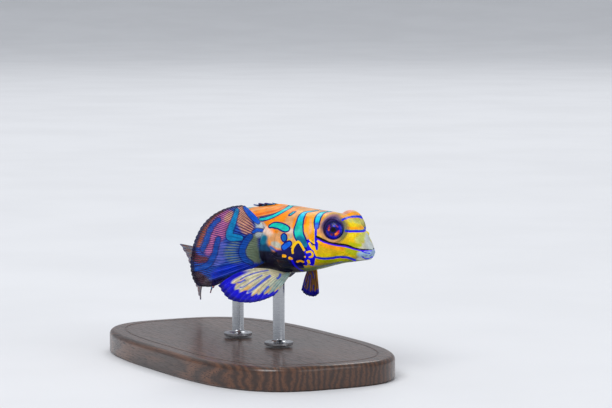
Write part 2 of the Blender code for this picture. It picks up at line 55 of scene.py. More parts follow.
# Camera: degrees round and over the fish, distance to its near eye, lens and sensor in mm
CAMERA_AZIMUTH = 62.0
CAMERA_ELEVATION = 5.0
CAMERA_DISTANCE = 380.0 * MM
CAMERA_LENS = 152.0
CAMERA_SENSOR = 36.0

# Body lengths, as in the solids
STANDARD_LENGTH = 51.0 * MM
SUPPORT_POINT = 26.0 * MM
AXIS_STEP = 0.25 * MM
AXIS_REACH = 70.0 * MM
LIP_HEIGHT = 18.8 * MM
AXIS_OVER_LIPS = 1.7 * MM
GAP = 0.3 * MM

# Way the axis points: (distance behind the lips, degrees to the left, degrees nose up)
AXIS_TURNS = (
    (0.0 * MM, 29.0, 0.0),
    (8.0 * MM, 29.0, 0.0),
    (15.0 * MM, 19.0, 2.0),
    (23.0 * MM, 3.5, 7.0),
    (34.0 * MM, -9.0, 14.0),
    (44.0 * MM, -13.0, 17.0),
    (52.0 * MM, -14.0, 14.0),
    (70.0 * MM, -14.0, 12.0),
)

# Body sections: distance behind the lips, half width, top and bottom over the axis.
# The last three round off the root of the tail fin.
BODY_SECTIONS = (
    (0.0 * MM, 0.85 * MM, -1.00 * MM, -2.15 * MM),
    (0.5 * MM, 1.55 * MM, -0.15 * MM, -2.45 * MM),
    (1.2 * MM, 2.00 * MM, 1.00 * MM, -2.65 * MM),
    (2.2 * MM, 2.50 * MM, 2.30 * MM, -2.85 * MM),
    (3.4 * MM, 2.95 * MM, 3.30 * MM, -3.05 * MM),
    (4.8 * MM, 3.45 * MM, 3.85 * MM, -3.30 * MM),
    (6.5 * MM, 4.15 * MM, 4.15 * MM, -3.75 * MM),
    (9.0 * MM, 5.05 * MM, 4.35 * MM, -4.45 * MM),
    (12.0 * MM, 5.35 * MM, 4.60 * MM, -5.05 * MM),
    (15.0 * MM, 5.25 * MM, 4.85 * MM, -5.25 * MM),
    (20.0 * MM, 5.00 * MM, 4.70 * MM, -4.95 * MM),
    (26.0 * MM, 4.40 * MM, 4.70 * MM, -4.35 * MM),
    (32.0 * MM, 3.60 * MM, 4.50 * MM, -3.75 * MM),
    (38.0 * MM, 2.65 * MM, 3.45 * MM, -3.10 * MM),
    (44.0 * MM, 1.95 * MM, 2.75 * MM, -2.55 * MM),
    (50.5 * MM, 1.25 * MM, 2.42 * MM, -2.42 * MM),
    (51.6 * MM, 0.85 * MM, 2.30 * MM, -2.30 * MM),
    (52.4 * MM, 0.25 * MM, 1.90 * MM, -1.90 * MM),
)
SKIN_END = 52.4 * MM
SECTION_POWER = 2.3
WIDEST_LEVEL = 0.45

# Gill cover raised on the rear of the cheek
GILL_COVER_FRONT = 8.6 * MM
GILL_COVER_REAR = 13.3 * MM
GILL_COVER_RISE = 0.30 * MM
GILL_COVER_ANGLES = (-58.0, 34.0)
GILL_COVER_SLOPES = (2.4 * MM, 0.4 * MM)
GILL_COVER_FADES = (18.0, 14.0)

# Eyes and their sockets: behind the lips, out from the middle, over the axis
EYE_CENTRE = (4.75 * MM, 2.80 * MM, 1.95 * MM)
EYE_RADIUS = 1.64 * MM
EYE_DEPTH_RATIO = 0.70
EYE_TURN_FORWARD = 16.0
EYE_TURN_UP = 12.0
EYE_CLEARANCE = 0.04 * MM
ORBIT_CENTRE = (5.0 * MM, 2.30 * MM, 2.15 * MM)
ORBIT_RADII = (2.25 * MM, 1.15 * MM, 2.30 * MM)
EYE_FOLD_LIFT = 0.42 * MM
EYE_FOLD_RADIUS = 1.72 * MM
EYE_FOLD_THICKNESS = 0.24 * MM

# Lips, as rolls round the mouth
LIP_REACH = (2.3 * MM, 1.45 * MM)
UPPER_LIP = (0.10 * MM, -1.40 * MM, 0.48 * MM)
LOWER_LIP = (0.50 * MM, -2.15 * MM, 0.42 * MM)
LIP_DROOP = 0.55 * MM
MOUTH_LINE = 0.20 * MM

# Nostril tubes: degrees round the body, distance behind the lips and lift of foot and tip, radii
NOSTRIL_DEGREES = 42.0
NOSTRIL_FOOT = (1.9 * MM, -0.15 * MM)
NOSTRIL_TIP = (1.75 * MM, 0.24 * MM)
NOSTRIL_RADII = (0.36 * MM, 0.27 * MM)
NOSTRIL_HOLE_RADII = (0.11 * MM, 0.16 * MM)

# Spine of the cheek, from its root to its tip
SPINE_PLACES = (10.8 * MM, 13.8 * MM)
SPINE_DEGREES = (-22.0, -12.0)
SPINE_LIFTS = (-0.25 * MM, 0.60 * MM)
SPINE_RADII = (0.42 * MM, 0.14 * MM)

# Small gill opening behind the cover
GILL_SLOT_PLACE = 13.6 * MM
GILL_SLOT_DEGREES = (10.0, 30.0)
GILL_SLOT_LIFT = 0.10 * MM
GILL_SLOT_RADIUS = 0.28 * MM

# Skin mesh: size of its faces in mm, rounds of smoothing
SKIN_FACE = 0.085
SKIN_SMOOTHING = 4

# Stand
BASE_SIZE = (58.0 * MM, 32.0 * MM, 3.6 * MM)
BASE_EDGE = 0.8 * MM
BASE_FOOT_EDGE = 0.3 * MM
BASE_CORNER_POWER = 3.2
BASE_GROOVE = (
    (2.20 * MM, 0.0), (2.28 * MM, 0.10 * MM), (2.36 * MM, 0.13 * MM), (2.44 * MM, 0.10 * MM),
    (2.52 * MM, 0.0),
)
SHARP_ANGLE = math.radians(35.0)
ROD_RADIUS = 0.9 * MM
ROD_FOOT = (2.2 * MM, 0.9 * MM)
ROD_PAD = (1.3 * MM, 0.6 * MM)
ROD_EDGE = 0.12 * MM
PAD_THICKNESS = 0.25 * MM
ROD_PLACES = {"stand_rod_front": 17.5 * MM, "stand_rod_rear": 30.5 * MM}

# Rays of the pectoral fan: place across it from the top, degrees upwards, length
PECTORAL_RAYS = (
    (0.00, 62.0, 3.6 * MM),
    (0.15, 42.0, 5.6 * MM),
    (0.30, 26.0, 7.4 * MM),
    (0.45, 13.0, 8.6 * MM),
    (0.60, 1.0, 9.2 * MM),
    (0.75, -11.0, 9.6 * MM),
    (0.90, -22.0, 9.2 * MM),
    (1.00, -28.0, 6.9 * MM),
)

# Root of the fan: behind the lips, how far its lower end lies behind its upper one, and the
# degrees round the body of both ends
FAN_RAYS = 29
FAN_ROOT = 15.1 * MM
FAN_ROOT_LEAN = 0.9 * MM
FAN_ROOT_DEGREES = (24.0, -32.0)
FAN_BEND = 1.3 * MM

# How each fan is held: ways out and ahead of its rays, share of their spread, degrees of tilt
FAN_POSES = {RIGHT: (0.76, -0.64, 1.0, 0.0), LEFT: (0.45, -0.90, 0.7, -10.0)}

# Fins of the middle line: rays, start and end of the root behind the lips, degrees round the
# body, degrees by which the front and rear rays rise, their lengths, depth of the notches
MEDIAN_FINS = {
    "dorsal_fin_first": (4, (14.8 * MM, 19.8 * MM), 90.0, (9.0, 9.0), (3.4 * MM, 3.2 * MM), 0.25),
    "dorsal_fin_second": (9, (27.0 * MM, 41.5 * MM), 90.0, (7.0, 25.0), (4.2 * MM, 5.4 * MM), 0.05),
    "anal_fin": (8, (33.5 * MM, 44.0 * MM), -90.0, (24.0, 36.0), (3.6 * MM, 5.2 * MM), 0.06),
}

# Tail fin: rays, half height of its root, degrees by which its upper and lower rays rise, and
# the lengths of its upper, lower and middle rays
CAUDAL_RAYS = 12
CAUDAL_ROOT = 2.15 * MM
CAUDAL_TURNS = (13.0, -17.0)
CAUDAL_LENGTHS = (12.0 * MM, 9.5 * MM, 13.6 * MM)

# Ridges from which the fins rise: start and end behind the lips, degrees round the body at
# both, radius, how deep they are sunk, and their sides
FIN_RIDGES = (
    (14.9 * MM, 15.9 * MM, (26.0, -34.0), 0.62 * MM, 0.05 * MM, (RIGHT, LEFT)),
    (12.0 * MM, 14.4 * MM, (-61.0, -54.0), 0.62 * MM, 0.15 * MM, (RIGHT, LEFT)),
    (14.4 * MM, 20.4 * MM, (90.0, 90.0), 0.38 * MM, 0.14 * MM, (RIGHT,)),
    (26.4 * MM, 42.2 * MM, (90.0, 90.0), 0.42 * MM, 0.12 * MM, (RIGHT,)),
    (33.0 * MM, 44.6 * MM, (-90.0, -90.0), 0.42 * MM, 0.12 * MM, (RIGHT,)),
)

# Pelvic fins: middle and length of the root, then for each fin where the tips of its rays lie
# from their roots: (place across the fin, ahead, outward, upward); the sags, in the same order
# of ways, bow the front and the rear ray between root and tip. The right fin's rear ray is bowed
# more than in its solid, so that its edge meets the belly.
PELVIC_PLACE = 13.2 * MM
PELVIC_ROOT = 2.0 * MM
PELVIC_RIGHT_TIPS = (
    (0.00, -0.7 * MM, 3.0 * MM, -3.2 * MM),
    (0.25, -1.5 * MM, 4.5 * MM, -3.9 * MM),
    (0.50, -2.5 * MM, 6.0 * MM, -4.1 * MM),
    (0.75, -3.8 * MM, 7.6 * MM, -3.5 * MM),
    (1.00, -4.8 * MM, 8.1 * MM, -1.6 * MM),
)
PELVIC_LEFT_TIPS = (
    (0.00, -0.6 * MM, 1.3 * MM, -3.8 * MM),
    (0.25, -1.4 * MM, 1.8 * MM, -4.4 * MM),
    (0.50, -2.3 * MM, 2.1 * MM, -4.5 * MM),
    (0.75, -3.1 * MM, 2.3 * MM, -4.3 * MM),
    (1.00, -3.5 * MM, 2.4 * MM, -3.8 * MM),
)
PELVIC_RIGHT_SAGS = ((-1.2 * MM, 0.6 * MM, -0.8 * MM), (0.6 * MM, -0.6 * MM, -5.2 * MM))
PELVIC_LEFT_SAGS = ((-0.4 * MM, 0.2 * MM, 0.0 * MM), (0.2 * MM, -0.2 * MM, -1.0 * MM))


def paint(red, green, blue):
    """Linear colour of a paint given as it shows on a screen, 0 to 255."""
    shares = [value / 255.0 for value in (red, green, blue)]
    linear = [share / 12.92 if share <= 0.04045 else ((share + 0.055) / 1.055) ** 2.4 for share in shares]
    return (*linear, 1.0)


# Paints of the fish
GOLD = paint(230, 188, 0)
GOLD_ORANGE = paint(255, 164, 0)
LEMON = paint(228, 200, 0)
PALE_LEMON = paint(200, 200, 96)
YELLOW_GREEN = paint(178, 182, 0)
CHIN_OLIVE = paint(98, 120, 66)
# Whitish grey of the snout, lightened partly by a painted highlight
SNOUT_GREY = paint(192, 200, 198)
LIP_BLUE = paint(148, 176, 204)
PEACH = paint(232, 166, 106)
PALE_ORANGE = paint(246, 172, 44)
ORANGE = paint(255, 144, 0)
DEEP_ORANGE = paint(244, 112, 0)
MAUVE = paint(166, 118, 136)
EYE_PURPLE = paint(62, 44, 96)
EYE_OLIVE = paint(84, 110, 84)
PINK_PEACH = paint(236, 168, 140)
TURQUOISE = paint(0, 200, 200)
SEA_GREEN = paint(0, 192, 172)
OCEAN = paint(0, 104, 186)
ROYAL_BLUE = paint(10, 2, 222)
VIOLET = paint(72, 0, 240)
NAVY = paint(2, 0, 82)
BAND_BORDER = paint(6, 6, 116)
NIGHT = paint(4, 4, 34)
TEAL_GREY = paint(112, 146, 156)
# Whitish: used for painted highlights on the lower lip and low on the flank, and for a pale patch of skin
# higher up
WHITISH = paint(196, 196, 178)
PALE_ROSE = paint(228, 200, 184)
CYAN = paint(0, 200, 232)
AQUA = paint(0, 222, 176)
DEEP_TEAL = paint(0, 112, 146)
DARK_TEAL = paint(0, 66, 104)
STROKE_TEAL = paint(0, 92, 180)
STREAK_YELLOW = paint(255, 200, 0)
STREAK_AMBER = paint(246, 170, 0)
PELVIC_BLUE = paint(16, 66, 208)
BLACK = paint(6, 5, 14)
AZURE = paint(0, 98, 222)
FAN_BLUE = paint(0, 78, 176)
FAN_CYAN = paint(0, 136, 196)
FAN_LOW_BLUE = paint(0, 52, 206)
FAN_WINE = paint(112, 40, 66)
FAN_RUST = paint(178, 86, 40)
FAN_PEACH = paint(236, 176, 140)
FAN_PINK = paint(206, 118, 160)
FAN_RAY_BLUE = paint(40, 96, 190)
FAN_DEEP_BLUE = paint(6, 24, 132)
FAN_GREY_GREEN = paint(116, 132, 108)
FAN_SHADE = paint(66, 44, 58)
FAN_MAUVE = paint(128, 78, 104)
FAN_PURPLE = paint(98, 44, 140)
FAN_LILAC = paint(118, 112, 204)
# Whitish of the fan's root: partly its own pale colour, partly painted highlight on the rays
FAN_FROST = paint(208, 220, 222)
FOLDED_FIN = paint(26, 18, 34)
CREAM = paint(220, 212, 176)
PELVIC_GREEN = paint(132, 156, 146)
PELVIC_GOLD = paint(206, 146, 10)
PELVIC_MARGIN = paint(6, 0, 196)
CAUDAL_BROWN = paint(128, 80, 68)
CAUDAL_GREY = paint(62, 46, 66)


def curve_weights(part):
    """Shares of the start, the end and the slopes at both ends, along one piece of smooth curve."""
    start = 2 * part**3 - 3 * part**2 + 1
    return start, 1 - start, part**3 - 2 * part**2 + part, part**3 - part**2


def smooth_value(rows, column, position):
    """Value of one column of a table at a position, on a smooth curve through its rows."""
    places = [row[0] for row in rows]
    values = [row[column] for row in rows]
    position = min(max(position, places[0]), places[-1])
    index = int(np.searchsorted(places, position, side="right")) - 1
    index = min(max(index, 0), len(rows) - 2)

    def slope(at):
        before = max(at - 1, 0)
        after = min(at + 1, len(rows) - 1)
        return (values[after] - values[before]) / (places[after] - places[before])

    span = places[index + 1] - places[index]
    start, end, leaving, arriving = curve_weights((position - places[index]) / span)
    value = start * values[index] + end * values[index + 1]
    return value + leaving * span * slope(index) + arriving * span * slope(index + 1)


def blend(low, high, value):
    """0 below low, 1 above high, and smooth between them."""
    part = np.clip((value - low) / (high - low), 0.0, 1.0)
    return part * part * (3 - 2 * part)


def mix(low, high, part):
    """Value between two numbers or vectors."""
    return low + (high - low) * part


def forward_at(distance):
    """Direction the axis points to, towards the head, at a distance behind the lips."""
    turn = math.radians(smooth_value(AXIS_TURNS, 1, distance))
    pitch = math.radians(smooth_value(AXIS_TURNS, 2, distance))
    level = math.cos(pitch)
    return Vector((level * math.cos(turn), level * math.sin(turn), math.sin(pitch)))


def trace_axis():
    """Points of the axis every AXIS_STEP behind the lips, with the support point over the origin."""
    points = [Vector((0.0, 0.0, 0.0))]
    for index in range(round(AXIS_REACH / AXIS_STEP)):
        middle = (index + 0.5) * AXIS_STEP
        points.append(points[-1] - forward_at(middle) * AXIS_STEP)
    support = points[round(SUPPORT_POINT / AXIS_STEP)]
    shift = Vector((-support.x, -support.y, LIP_HEIGHT + AXIS_OVER_LIPS))
    return [point + shift for point in points]


AXIS_POINTS = trace_axis()


def axis_frame(distance):
    """Point of the axis and its forward, right and up directions there."""
    place = min(max(distance / AXIS_STEP, 0.0), len(AXIS_POINTS) - 1.001)
    index = int(place)
    point = AXIS_POINTS[index].lerp(AXIS_POINTS[index + 1], place - index)
    point = point + forward_at(0.0) * max(-distance, 0.0)
    forward = forward_at(distance)
    right = forward.cross(Vector((0.0, 0.0, 1.0))).normalized()
    return point, forward, right, right.cross(forward)


AXIS_FRAMES = [axis_frame(index * AXIS_STEP) for index in range(len(AXIS_POINTS))]


def place_at(distance, out, up, side=RIGHT):
    """World point at a distance behind the lips, out to one side and over the axis."""
    point, _, right, upward = axis_frame(distance)
    return point + right * (out * side) + upward * up


def direction_at(distance, ahead, out, up, side=RIGHT):
    """World direction from its parts ahead, out to one side and up."""
    _, forward, right, upward = axis_frame(distance)
    return (forward * ahead + right * (out * side) + upward * up).normalized()


def gill_cover_rise(distance, degrees):
    """Height of the gill cover over the body at an angle round it."""
    front, rear = GILL_COVER_SLOPES
    along = blend(GILL_COVER_FRONT, GILL_COVER_FRONT + front, distance)
    along *= 1 - blend(GILL_COVER_REAR - rear, GILL_COVER_REAR, distance)
    low, high = GILL_COVER_ANGLES
    across = blend(low, low + GILL_COVER_FADES[0], degrees)
    across *= 1 - blend(high - GILL_COVER_FADES[1], high, degrees)
    return GILL_COVER_RISE * along * across


def section_point(distance, degrees, lift=0.0):
    """Way out and up from the axis of a point on the body's surface, or lifted off it."""
    width = smooth_value(BODY_SECTIONS, 1, distance)
    top = smooth_value(BODY_SECTIONS, 2, distance)
    bottom = smooth_value(BODY_SECTIONS, 3, distance)
    middle = bottom + WIDEST_LEVEL * (top - bottom)
    angle = math.radians(degrees)
    power = 2 / SECTION_POWER
    cosine = math.copysign(abs(math.cos(angle)) ** power, math.cos(angle))
    sine = math.copysign(abs(math.sin(angle)) ** power, math.sin(angle))
    reach = top - middle if sine > 0 else middle - bottom
    rise = lift + gill_cover_rise(distance, degrees)
    out = width * cosine + rise * math.cos(angle)
    return out, middle + reach * sine + rise * math.sin(angle)


def surface_point(distance, degrees, side=RIGHT, lift=0.0):
    """Point on the body's surface at an angle round it, or lifted off it."""
    out, up = section_point(distance, degrees, lift)
    return place_at(distance, out, up, side)


def body_places(points):
    """Distance behind the lips, way out to the right and height over the axis of world points."""
    centres = np.array([tuple(point) for point, _, _, _ in AXIS_FRAMES])
    ways = [np.array([tuple(axes[column]) for axes in AXIS_FRAMES]) for column in (1, 2, 3)]
    nearest = np.empty(len(points), int)
    for start in range(0, len(points), 20000):
        part = points[start : start + 20000]
        gaps = -2 * part @ centres.T + (centres**2).sum(1)
        nearest[start : start + 20000] = gaps.argmin(1)
    offset = points - centres[nearest]
    ahead, out, up = [(offset * way[nearest]).sum(1) for way in ways]
    return nearest * AXIS_STEP - ahead, out, up


# Shells: a shell is an array of points and a list of faces


def ring_shell(rings, joined=False):
    """Shell through rings of as many points each, closed at both ends or joined end to end."""
    points = np.array([[tuple(point) for point in ring] for ring in rings])
    index = np.arange(points.shape[0] * points.shape[1]).reshape(points.shape[:2])
    low = index if joined else index[:-1]
    high = np.roll(index, -1, axis=0) if joined else index[1:]
    quads = np.stack([low, np.roll(low, -1, 1), np.roll(high, -1, 1), high], axis=2)
    faces = quads.reshape(-1, 4).tolist()
    if not joined:
        faces += [index[0][::-1].tolist(), index[-1].tolist()]
    return points.reshape(-1, 3), faces


def merged(shells):
    """Several shells as one."""
    points = []
    faces = []
    start = 0
    for shell_points, shell_faces in shells:
        points.append(shell_points)
        faces += [[corner + start for corner in face] for face in shell_faces]
        start += len(shell_points)
    return np.concatenate(points), faces


def ellipsoid(centre, radii, axes, segments=64, rows=40):
    """Ellipsoid with its three radii along the three axes given."""
    rings = []
    for row in range(rows + 1):
        polar = math.pi * (0.001 + 0.998 * row / rows)
        ring = []
        for corner in range(segments):
            turn = 2 * math.pi * corner / segments
            offset = axes[0] * (radii[0] * math.sin(polar) * math.cos(turn))
            offset += axes[1] * (radii[1] * math.sin(polar) * math.sin(turn))
            ring.append(centre + offset + axes[2] * (radii[2] * math.cos(polar)))
        rings.append(ring)
    return ring_shell(rings)


def tube(path, radii, sides=20):
    """Tapered tube along a path of points, closed at both ends."""
    rings = []
    for index, point in enumerate(path):
        before = path[max(index - 1, 0)]
        after = path[min(index + 1, len(path) - 1)]
        along = (after - before).normalized()
        first = along.orthogonal().normalized() if index == 0 else first
        first = (first - along * first.dot(along)).normalized()
        second = along.cross(first)
        ring = []
        for side in range(sides):
            angle = 2 * math.pi * side / sides
            ring.append(point + (first * math.cos(angle) + second * math.sin(angle)) * radii[index])
        rings.append(ring)
    return ring_shell(rings)


def mesh_object(name, shell, material, cad_nodes):
    """Shown piece from a shell, riding on the one body in place of the solids it stands for."""
    mesh = bpy.data.meshes.new(name)
    mesh.from_pydata(shell[0].tolist(), [], shell[1])
    mesh.validate()
    mesh.shade_smooth()
    item = bpy.data.objects.new(name, mesh)
    bpy.context.scene.collection.objects.link(item)
    mesh.materials.append(material)
    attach(item, "root")
    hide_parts(*cad_nodes)
    return item


def vertices_of(mesh):
    """Points of a mesh as an array."""
    values = np.empty(len(mesh.vertices) * 3)
    mesh.vertices.foreach_get("co", values)
    return values.reshape(-1, 3)


def set_attribute(item, name, values):
    """Store one number or one colour for each point of a piece."""
    kind = "FLOAT" if values.ndim == 1 else "FLOAT_COLOR"
    attribute = item.data.attributes.new(name, kind, "POINT")
    key = "value" if kind == "FLOAT" else "color"
    attribute.data.foreach_set(key, values.astype(np.float32).ravel())


# Camera


def way_from(azimuth, elevation):
    """Direction towards a viewer at degrees round the fish, from its right side, and over it."""
    turn = math.radians(azimuth)
    rise = math.radians(elevation)
    return Vector((math.sin(turn) * math.cos(rise), -math.cos(turn) * math.cos(rise), math.sin(rise)))


def camera_axes():
    """Right, up and backward directions of the camera."""
    turn = math.radians(CAMERA_AZIMUTH)
    back = way_from(CAMERA_AZIMUTH, CAMERA_ELEVATION)
    right = Vector((math.cos(turn), math.sin(turn), 0.0))
    return right, back.cross(right), back


CAMERA_RIGHT, CAMERA_UP, CAMERA_BACK = camera_axes()
FOCAL_PIXELS = CAMERA_LENS / CAMERA_SENSOR * PHOTO_WIDTH


def camera_place():
    """Place from which the near eye shows at its pixel of the photograph."""
    eye = place_at(EYE_CENTRE[0], EYE_CENTRE[1] + 1.0 * MM, EYE_CENTRE[2], RIGHT)
    pixel = CAMERA_DISTANCE / FOCAL_PIXELS
    across = (EYE_PIXEL[0] - PHOTO_WIDTH / 2) * pixel
    down = (EYE_PIXEL[1] - PHOTO_HEIGHT / 2) * pixel
    return eye + CAMERA_BACK * CAMERA_DISTANCE - CAMERA_RIGHT * across + CAMERA_UP * down


CAMERA_PLACE = camera_place()


def pixel_ray(x, y):
    """Direction in which the camera sees a pixel of the photograph."""
    across = (x - PHOTO_WIDTH / 2) / FOCAL_PIXELS
    up = (PHOTO_HEIGHT / 2 - y) / FOCAL_PIXELS
    return (CAMERA_RIGHT * across + CAMERA_UP * up - CAMERA_BACK).normalized()


def pixels_of(points):
    """Pixel of the photograph at which each world point shows."""
    offset = points - np.array(CAMERA_PLACE)
    depth = -offset @ np.array(CAMERA_BACK)
    x = PHOTO_WIDTH / 2 + offset @ np.array(CAMERA_RIGHT) / depth * FOCAL_PIXELS
    y = PHOTO_HEIGHT / 2 - offset @ np.array(CAMERA_UP) / depth * FOCAL_PIXELS
    return np.stack([x, y], axis=1)


def make_camera():
    """Camera at the photograph's viewing angle and framing."""
    lens = bpy.data.cameras.new("photo_camera")
    lens.lens = CAMERA_LENS
    lens.sensor_width = CAMERA_SENSOR
    lens.clip_start = 1.0 * MM
    lens.clip_end = 20.0
    camera = bpy.data.objects.new("photo_camera", lens)
    turned = Matrix((CAMERA_RIGHT, CAMERA_UP, CAMERA_BACK)).transposed()
    camera.matrix_world = Matrix.Translation(CAMERA_PLACE) @ turned.to_4x4()
    bpy.context.scene.collection.objects.link(camera)
    bpy.context.scene.camera = camera


# Head and body under one skin


def body_shell():
    """Whole body from the lips to the root of the tail fin."""
    rings = []
    for distance in np.arange(0.0, SKIN_END, 0.2 * MM):
        ring = []
        for degrees in np.arange(-90.0, 90.0, 3.0):
            ring.append(surface_point(distance, degrees, RIGHT))
        for degrees in np.arange(90.0, -90.0, -3.0):
            ring.append(surface_point(distance, degrees, LEFT))
        rings.append(ring)
    return ring_shell(rings)


def eye_axes(side):
    """Sideways, upward and outward directions of an eye."""
    ahead = math.sin(math.radians(EYE_TURN_FORWARD))
    up = math.sin(math.radians(EYE_TURN_UP))
    outward = direction_at(EYE_CENTRE[0], ahead, 1.0, up, side)
    sideways = outward.cross(Vector((0.0, 0.0, 1.0))).normalized()
    return sideways, sideways.cross(outward), outward


def eye_shell(side, radius):
    """Eyeball or socket, a little flatter along the way the eye looks."""
    radii = (radius, radius, radius * EYE_DEPTH_RATIO)
    return ellipsoid(place_at(*EYE_CENTRE, side), radii, eye_axes(side), 128, 96)


def eye_fold(side):
    """Raised ring of skin round an eye."""
    sideways, upward, outward = eye_axes(side)
    middle = place_at(*EYE_CENTRE, side) + outward * EYE_FOLD_LIFT
    rings = []
    for turn in np.linspace(0.0, 2 * math.pi, 96, endpoint=False):
        spoke = sideways * math.cos(turn) + upward * math.sin(turn)
        ring = []
        for tilt in np.linspace(0.0, 2 * math.pi, 20, endpoint=False):
            offset = spoke * math.cos(tilt) + outward * math.sin(tilt)
            ring.append(middle + spoke * EYE_FOLD_RADIUS + offset * EYE_FOLD_THICKNESS)
        rings.append(ring)
    return ring_shell(rings, joined=True)


def lip(sizes):
    """Roll of one lip, round the front of the mouth and tapering to its corners."""
    start, level, radius = sizes
    length, half_width = LIP_REACH
    path = []
    radii = []
    for angle in np.radians(np.linspace(-90.0, 90.0, 49)):
        distance = start + length * (1 - math.cos(angle))
        up = level - LIP_DROOP * (1 - math.cos(angle))
        path.append(place_at(distance, half_width * math.sin(angle), up))
        radii.append(radius * (0.45 + 0.55 * math.cos(angle)))
    return tube(path, radii)


def mouth_slit():
    """Thin curved wedge that parts the lips."""
    length, half_width = LIP_REACH
    rings = []
    for angle in np.radians(np.linspace(-80.0, 80.0, 41)):
        level = 0.5 * (UPPER_LIP[1] + LOWER_LIP[1]) - LIP_DROOP * (1 - math.cos(angle))
        out = half_width * math.sin(angle)
        start = length * (1 - math.cos(angle))
        spread = 1.0 + abs(math.sin(angle))
        ring = []
        for distance, up in ((-1.2, 0.6), (0.55, 0.3), (0.55, -0.3), (-1.2, -0.6)):
            reach = spread if distance < 0 else 1.0
            ring.append(place_at(start + distance * MM, out * reach, level + up * MOUTH_LINE))
        rings.append(ring)
    return ring_shell(rings)


def nostril(side):
    """Short nostril tube in front of an eye and the hole down it."""
    ends = (NOSTRIL_FOOT, NOSTRIL_TIP)
    foot, tip = [surface_point(distance, NOSTRIL_DEGREES, side, lift) for distance, lift in ends]
    hole = tube([foot.lerp(tip, 0.3), foot.lerp(tip, 1.4)], NOSTRIL_HOLE_RADII)
    return tube([foot, tip], NOSTRIL_RADII), hole


def cheek_spine(side):
    """Hooked spine at the rear corner of the cheek."""
    path = []
    radii = []
    for part in np.linspace(0.0, 1.0, 16):
        degrees = mix(*SPINE_DEGREES, part * part)
        path.append(surface_point(mix(*SPINE_PLACES, part), degrees, side, mix(*SPINE_LIFTS, part)))
        radii.append(mix(*SPINE_RADII, part))
    return tube(path, radii)


def gill_opening(side):
    """Small slot behind the gill cover, high on the side."""
    path = []
    radii = []
    for part in np.linspace(0.0, 1.0, 9):
        degrees = mix(*GILL_SLOT_DEGREES, part)
        path.append(surface_point(GILL_SLOT_PLACE, degrees, side, GILL_SLOT_LIFT))
        radii.append(GILL_SLOT_RADIUS * math.sin(math.radians(mix(30.0, 150.0, part))))
    return tube(path, radii)


def fin_ridge(start, end, degrees, radius, sink, side):
    """Low fleshy ridge from which a fin rises, between two places on the body."""
    path = []
    radii = []
    for part in np.linspace(0.0, 1.0, 24):
        place = mix(start, end, part)
        path.append(surface_point(place, mix(*degrees, part), side, -sink))
        radii.append(radius * (0.35 + 0.65 * math.sin(math.pi * part) ** 0.6))
    return tube(path, radii)


def make_skin(material):
    """One seamless skin over head, trunk and tail, remeshed fine and smoothed."""
    shells = [body_shell(), lip(UPPER_LIP), lip(LOWER_LIP)]
    cutters = [mouth_slit()]
    for side in (RIGHT, LEFT):
        _, forward, right, upward = axis_frame(ORBIT_CENTRE[0])
        shells.append(ellipsoid(place_at(*ORBIT_CENTRE, side), ORBIT_RADII, (forward, right, upward)))
        ring, hole = nostril(side)
        shells += [ring, eye_fold(side), cheek_spine(side)]
        cutters += [hole, gill_opening(side), eye_shell(side, EYE_RADIUS + EYE_CLEARANCE)]
    for *sizes, sides in FIN_RIDGES:
        shells += [fin_ridge(*sizes, side) for side in sides]
    points, faces = merged(shells)
    item = mesh_object("skin", (points / MM, faces), material, ("head", "trunk", "tail"))
    holes = bpy.data.meshes.new("holes")
    points, faces = merged(cutters)
    holes.from_pydata((points / MM).tolist(), [], faces)
    cutter = bpy.data.objects.new("holes", holes)
    bpy.context.scene.collection.objects.link(cutter)
    item.data.materials.clear()
    for step in ("fuse", "even"):
        remesh = item.modifiers.new(step, "REMESH")
        remesh.mode = "VOXEL"
        remesh.voxel_size = SKIN_FACE
        if step == "fuse":
            cut = item.modifiers.new("cut", "BOOLEAN")
            cut.operation = "DIFFERENCE"
            cut.solver = "MANIFOLD"
            cut.object = cutter
    smooth = item.modifiers.new("smooth", "SMOOTH")
    smooth.iterations = SKIN_SMOOTHING
    smooth.factor = 0.5
    mesh = bpy.data.meshes.new_from_object(item.evaluated_get(bpy.context.evaluated_depsgraph_get()))
    item.modifiers.clear()
    item.data = mesh
    mesh.transform(Matrix.Scale(MM, 4))
    mesh.shade_smooth()
    mesh.materials.clear()
    mesh.materials.append(material)
    bpy.data.objects.remove(cutter)
    return item


# Paths of paint: each is an array of world points with a half width. Steps along them are in
# pixels on the photograph and in mm on the body.

PHOTO_PATH_STEP = 0.4
BODY_PATH_STEP = 0.25
PATH_REACH = 1.2 * MM
SPOT_GAP = 0.1 * MM
MIDDLE_OVERLAP = 0.05 * MM
ABOVE = Vector((0.0, 0.0, 20.0 * MM))


def smooth_path(rows, step):
    """Dense rows on a smooth curve through a few, spaced by the distance of their first two values."""
    rows = np.array(rows, float)
    dense = []
    for index in range(len(rows) - 1):
        around = [max(index - 1, 0), index, index + 1, min(index + 2, len(rows) - 1)]
        before, start, end, after = rows[around]
        count = max(int(np.linalg.norm((end - start)[:2]) / step), 1)
        part = np.linspace(0.0, 1.0, count, endpoint=False)[:, None]
        at_start, at_end, leaving, arriving = curve_weights(part)
        curve = at_start * start + at_end * end
        curve += leaving * (end - before) / 2
        curve += arriving * (after - start) / 2
        dense.append(curve)
    dense.append(rows[-1:])
    return np.concatenate(dense)


def photo_path(points, half):
    """Dense pixels and half widths in pixels; a point may carry a half width of its own."""
    return smooth_path([point if len(point) == 3 else (*point, half) for point in points], PHOTO_PATH_STEP)


def skin_spots(tree, points, half, lower):
    """World points and half widths where a path of photo pixels falls on the skin."""
    spots = []
    for x, y, width in photo_path(points, half):
        spot = tree.ray_cast(CAMERA_PLACE, pixel_ray(x, y + lower))[0]
        if spot is not None:
            spots.append((*spot, width * PIXEL))
    return np.array(spots)


